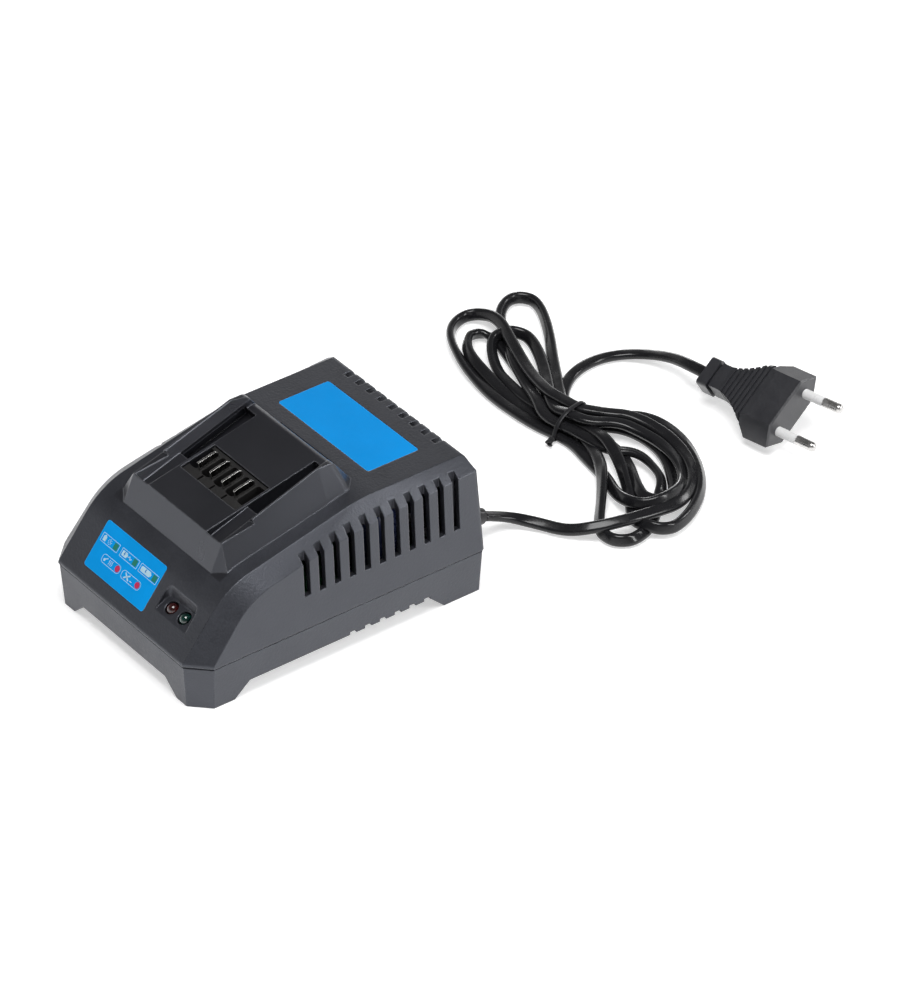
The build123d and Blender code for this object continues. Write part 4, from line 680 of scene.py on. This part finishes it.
def case_look(name, with_dock):
    """The case: matt spark-eroded plastic, its edges painted lighter as rubbed wear and as painted
    highlight; the dock on top of it is polished and darker, with brighter painted highlights on its
    edges.
    """
    color = (0.0145, 0.0150, 0.0185)
    look = Look(name)
    slow = look.noise(30, 4, 0.6)
    fine = look.noise(1500, 2, 0.5)
    base = look.drift(slow, color, 0.90, 1.10)
    base = look.blend(look.span(fine, 0.4, 0.75, 0, 0.4), base, shade(color, 1.7))
    look.round_edges(0.0007)
    # edges painted lighter: partly rubbed wear, partly a painted highlight for the lamps' glints on the
    # rounded edges
    edge = look.edges(0.0007)
    wear_and_highlight_strength = look.span(look.noise(90, 4, 0.6), 0.35, 0.65, 0.25, 0.60)
    edge_wear_and_highlight = look.times(edge, wear_and_highlight_strength)
    base = look.blend(edge_wear_and_highlight, base, (0.085, 0.088, 0.098))
    handled = look.vary(look.noise(60, 5, 0.62), 0.37, 0.49)
    rough = look.math("ADD", handled, look.vary(fine, -0.05, 0.05))
    grain = look.math("ADD", fine, look.times(look.cells(900), 0.7))
    if with_dock:
        dock = dock_area(look)
        gloss = look.blend(look.vary(slow, 0, 1), (0.011, 0.011, 0.013), (0.015, 0.015, 0.018))
        # on the dock the edges are painted far lighter: mostly a painted highlight along the polished
        # edges, partly rubbed wear
        gloss = look.blend(edge_wear_and_highlight, gloss, (0.190, 0.195, 0.210))
        base = look.blend(dock, base, gloss)
        shiny = look.vary(look.noise(40, 2, 0.5), 0.27, 0.34)
        rough = look.add("Mix", {0: dock, 2: rough, 3: shiny}).outputs[0]
        grain = look.times(grain, look.less(dock, 0.8))
    look.color(base)
    look.rough(look.times(rough, look.less(edge, 0.55)))
    look.bump(grain, 0.00005)
    look.set(Specular_IOR_Level=0.86, Specular_Tint=(0.84, 0.88, 1.0, 1.0))
    return look


def film_look(name, color):
    """Printed label film: fine print grain, faint waviness, rubbed along its rim."""
    look = Look(name)
    dots = look.cells(2600)
    base = look.drift(look.noise(55, 3, 0.5), color, 0.95, 1.04)
    base = look.blend(look.span(dots, 0.25, 0.6, 0, 0.10), base, shade(color, 0.80))
    rim = look.times(look.edges(0.0004), 0.35)
    look.color(look.blend(rim, base, tuple(min(c * 1.2 + 0.12, 1) for c in color)))
    look.rough(look.vary(look.noise(130, 5, 0.6), 0.41, 0.56))
    look.bump(dots, 0.000003)
    look.set(Specular_IOR_Level=0.07)
    return look


def lens_look(name, color, deep):
    """Tinted clear lens: the tint deepens in patches under a glossy skin with fine scratches."""
    look = Look(name)
    base = look.blend(look.span(look.noise(420, 3, 0.6), 0.35, 0.65, 0, 1), color, deep)
    base = look.blend(look.span(look.noise(1500, 3, 0.6), 0.45, 0.7, 0, 0.25), base, shade(deep, 0.6))
    look.color(base)
    look.rough(look.vary(look.noise(900, 3, 0.6, stretch=(1, 8, 1)), 0.05, 0.12))
    look.bump(look.noise(500, 2, 0.5), 0.000008)
    look.set(Coat_Weight=1.0, Coat_Roughness=0.03, IOR=1.5, Transmission_Weight=0.25)
    return look


def cord_look(name, color, rough):
    """Satin vinyl: slight orange peel, scuffs, and dust in patches."""
    look = Look(name)
    base = look.drift(look.noise(45, 4, 0.6), color, 0.86, 1.14)
    base = look.blend(look.span(look.noise(330, 6, 0.7), 0.55, 0.75, 0, 0.35), base, shade(color, 1.9))
    look.color(base)
    look.rough(look.vary(look.noise(150, 5, 0.6), rough - 0.07, rough + 0.09))
    look.bump(look.noise(1100, 2, 0.5), 0.000012)
    look.bump(look.noise(220, 3, 0.6), 0.00002)
    look.set(Specular_IOR_Level=0.28, Coat_Weight=0.22, Coat_Roughness=0.10)
    return look


def ink_look(name, color):
    """Screen-printed ink: slightly uneven cover."""
    look = Look(name)
    uneven = look.span(look.noise(900, 4, 0.6), 0.35, 0.7, 0, 1)
    look.color(look.blend(uneven, color, shade(color, 0.88)))
    look.rough(look.vary(look.noise(500, 3, 0.6), 0.30, 0.42))
    look.bump(look.noise(2400, 2, 0.5), 0.000004)
    return look


def board_look(name):
    """Circuit board: green solder mask over tracks that show through it."""
    look = Look(name)
    weave = look.add("TexWave", {"Scale": 320, "Distortion": 6, "Vector": look.place}).outputs["Fac"]
    tracks = look.span(look.cells(150, "DISTANCE_TO_EDGE"), 0.05, 0.08, 1, 0)
    base = look.blend(tracks, (0.020, 0.110, 0.045), (0.035, 0.190, 0.070))
    look.color(look.blend(look.span(weave, 0.4, 0.6, 0, 0.15), base, (0.012, 0.075, 0.03)))
    look.rough(look.vary(look.noise(300, 4, 0.6), 0.28, 0.42))
    look.bump(tracks, 0.00003)
    return look


def glass_look(name):
    """Clear glass tube with faint ripples."""
    look = Look(name)
    look.color(look.blend(look.noise(200, 3, 0.5), (0.84, 0.87, 0.86), (0.95, 0.96, 0.96)))
    look.rough(look.vary(look.noise(600, 3, 0.6), 0.02, 0.08))
    look.bump(look.noise(350, 2, 0.5), 0.000006)
    look.set(IOR=1.5, Transmission_Weight=0.85)
    return look


looks = {
    "upper_case": case_look("case_upper", True),
    "lower_case": case_look("case_lower", False),
    "screw": metal("screw_steel", (0.45, 0.45, 0.47), 0.38, (1, 1, 10)),
    "label": film_look("label_film", (0.0, 0.272, 0.715)),
    "status": film_look("status_film", (0.0, 0.335, 0.850)),
    "red": lens_look("red_lens", (0.09, 0.006, 0.006), (0.014, 0.001, 0.001)),
    "green": lens_look("green_lens", (0.0, 0.060, 0.044), (0.0, 0.010, 0.008)),
    "board": board_look("board_laminate"),
    "terminal": plastic("terminal_plastic", (0.012, 0.0115, 0.0115), 0.50,
                        grain=1800, wear=0.08, edge=0.0003),
    # contact blades: open faces painted dark, a painted reflection of the dark block round them
    "blade": metal("contact_metal", (0.92, 0.91, 0.89), 0.20,
                   depth=0.0000001, rounded=0.0003, face=0.35),
    "ferrite": plastic("ferrite", (0.050, 0.050, 0.055), 0.62, grain=1100, depth=0.00007, wear=0.4),
    "tape": plastic("winding_tape", (0.72, 0.52, 0.09), 0.33,
                    grain=700, depth=0.00002, wear=0.15, coat=0.3),
    "sleeve": plastic("can_sleeve", (0.030, 0.040, 0.100), 0.28,
                      grain=900, depth=0.00001, wear=0.2, coat=0.4),
    "sink": metal("heatsink_metal", (0.70, 0.71, 0.72), 0.34, (1, 1, 22)),
    "resin": plastic("package_resin", (0.028, 0.028, 0.029), 0.55,
                     grain=1600, wear=0.35, edge=0.0003),
    "film_box": plastic("film_box", (0.60, 0.58, 0.50), 0.30,
                        grain=1200, depth=0.00001, wear=0.15, coat=0.2),
    "glass": glass_look("fuse_glass"),
    "lead": cord_look("lead_insulation", (0.34, 0.035, 0.035), 0.35),
    "boot": cord_look("boot_rubber", (0.020, 0.020, 0.022), 0.40),
    "cord": cord_look("cord_sheath", (0.011, 0.011, 0.0125), 0.23),
    "tie": cord_look("tie_plastic", (0.016, 0.016, 0.018), 0.30),
    "plug": plastic("plug_plastic", (0.017, 0.0175, 0.022), 0.38,
                    grain=1500, depth=0.00003, wear=0.0, spec=0.9),
    "pin": metal("pin_metal", (0.60, 0.59, 0.58), 0.26, tarnish=(0.38, 0.37, 0.35)),
    "white": plastic("sleeve_white", (0.86, 0.86, 0.86), 0.34,
                     grain=1500, depth=0.00001, spread=0.03, wear=0.0),
    "ink_white": ink_look("ink_white", (0.50, 0.76, 0.90)),
    "ink_green": ink_look("ink_green", (0.0, 0.21, 0.14)),
    "ink_red": ink_look("ink_red", (0.60, 0.015, 0.09)),
    "ink_blue": ink_look("ink_blue", (0.0, 0.22, 0.62)),
}
WHICH = {
    "upper_case": "upper_case", "lower_case": "lower_case", "case_screws": "screw",
    "top_label": "label", "status_label": "status", "red_light": "red", "green_light": "green",
    "light_board": "board", "terminal_block": "terminal", "contact_blades": "blade",
    "main_board": "board", "board_screws": "screw", "transformer_core": "ferrite",
    "transformer_winding": "tape", "mains_capacitor": "sleeve", "output_capacitors": "sleeve",
    "primary_heatsink": "sink", "output_heatsink": "sink", "switching_transistor": "resin",
    "output_rectifier": "resin", "bridge_rectifier": "resin", "mains_choke": "ferrite",
    "suppression_capacitor": "film_box", "fuse": "glass", "terminal_leads": "lead",
    "mains_leads": "cord", "cord_grommet": "boot", "cord_clamp": "terminal", "clamp_screws": "screw",
    "plug_body": "plug", "plug_pins": "pin", "pin_sleeves": "white", "cord_near_run": "cord",
    "cord_hank": "cord", "cord_far_run": "cord", "cord_tie": "tie",
}


def wear_look(ob, look):
    """Puts the look in every material slot of an object."""
    if not ob.material_slots:
        ob.data.materials.append(look.mat)
    for one in ob.material_slots:
        one.material = look.mat


for node_name, key in WHICH.items():
    wear_look(nodes[node_name], looks[key])
for ob, key in ((cord, "cord"), (tie_loop, "tie"), (twist[0], "tie"), (twist[1], "tie"),
                (status_white, "ink_white"), (status_green, "ink_green"),
                (status_red, "ink_red"), (status_bolt, "ink_blue")):
    wear_look(ob, looks[key])


# ---------------------------------------------------------------- floor
# matt, and lit up where it is seen or mirrored; metres
FLOOR_HALF, FLOOR_DROP = 6.0, 0.0001
FLOOR_GREY, FLOOR_GLOW, MIRROR_GAIN = 0.80, 0.50, 1.35

floor_mesh = bpy.data.meshes.new("floor")
corners = [(x * FLOOR_HALF, y * FLOOR_HALF, 0) for x, y in ((-1, -1), (1, -1), (1, 1), (-1, 1))]
floor_mesh.from_pydata(corners, [], [(0, 1, 2, 3)])
floor = put("floor", floor_mesh)
floor.location.z = -FLOOR_DROP
floor_mat = bpy.data.materials.new("floor")
floor_mat.use_nodes = True
tree = floor_mat.node_tree
tree.nodes.clear()
rays = add(tree, "LightPath").outputs
direct = add(tree, "Math", {0: rays["Is Camera Ray"], 1: rays["Is Transmission Ray"]}, "MAXIMUM")
mirrored = add(tree, "Math", {0: rays["Is Glossy Ray"], 1: MIRROR_GAIN}, "MULTIPLY")
seen = add(tree, "Math", {0: direct, 1: mirrored}, "MAXIMUM")
strength = add(tree, "Math", {0: seen, 1: FLOOR_GLOW}, "MULTIPLY")
glow = add(tree, "Emission", {"Color": (1, 1, 1), "Strength": strength})
matt = add(tree, "BsdfDiffuse", {"Color": (FLOOR_GREY, FLOOR_GREY, FLOOR_GREY)})
both = add(tree, "AddShader", {0: matt, 1: glow})
add(tree, "OutputMaterial", {"Surface": both})
floor_mesh.materials.append(floor_mat)


# ---------------------------------------------------------------- world
# white to the camera; to the part, bright at the horizon and dark above
BAND_FROM, BAND_TO = 0.05, 0.50
BAND_LOW, BAND_HIGH = 0.95, 0.12

world = bpy.data.worlds.new("studio")
scene.world = world
world.use_nodes = True
tree = world.node_tree
tree.nodes.clear()
toward = add(tree, "SeparateXYZ", {0: add(tree, "TexCoord").outputs["Generated"]})
band = add(tree, "MapRange", {"Value": toward.outputs["Z"], "From Min": BAND_FROM, "From Max": BAND_TO,
                              "To Min": BAND_LOW, "To Max": BAND_HIGH})
band.interpolation_type = "SMOOTHSTEP"
soft = add(tree, "Background", {"Color": band, "Strength": 1.0})
white = add(tree, "Background", {"Color": (1, 1, 1), "Strength": 1.0})
to_camera = add(tree, "LightPath").outputs["Is Camera Ray"]
pick = add(tree, "MixShader", {"Fac": to_camera, 1: soft, 2: white})
add(tree, "OutputWorld", {"Surface": pick})


# ---------------------------------------------------------------- lamps
def lamp(name, at, to, width, height, power):
    """A rectangular lamp of that size in metres and power in watts, turned to a place."""
    data = bpy.data.lights.new(name, "AREA")
    data.shape = "RECTANGLE"
    data.size, data.size_y = width, height
    data.energy = power
    ob = put(name, data)
    ob.location = at
    ob.rotation_euler = (Vector(to) - Vector(at)).to_track_quat("-Z", "Y").to_euler()


lamp("overhead", (0.3, -0.3, 2.2), (0.0, 0.05, 0.0), 1.1, 1.1, 33.0)
lamp("edge", (1.32, 0.90, 1.08), (0.0, 0.05, 0.04), 0.34, 1.1, 13.0)
lamp("rear_left", (-1.7, 1.3, 0.42), (0.0, 0.05, 0.04), 0.22, 0.45, 3.0)
lamp("rear", (0.36, 2.10, 1.05), (0.0, 0.05, 0.04), 0.25, 0.5, 5.0)
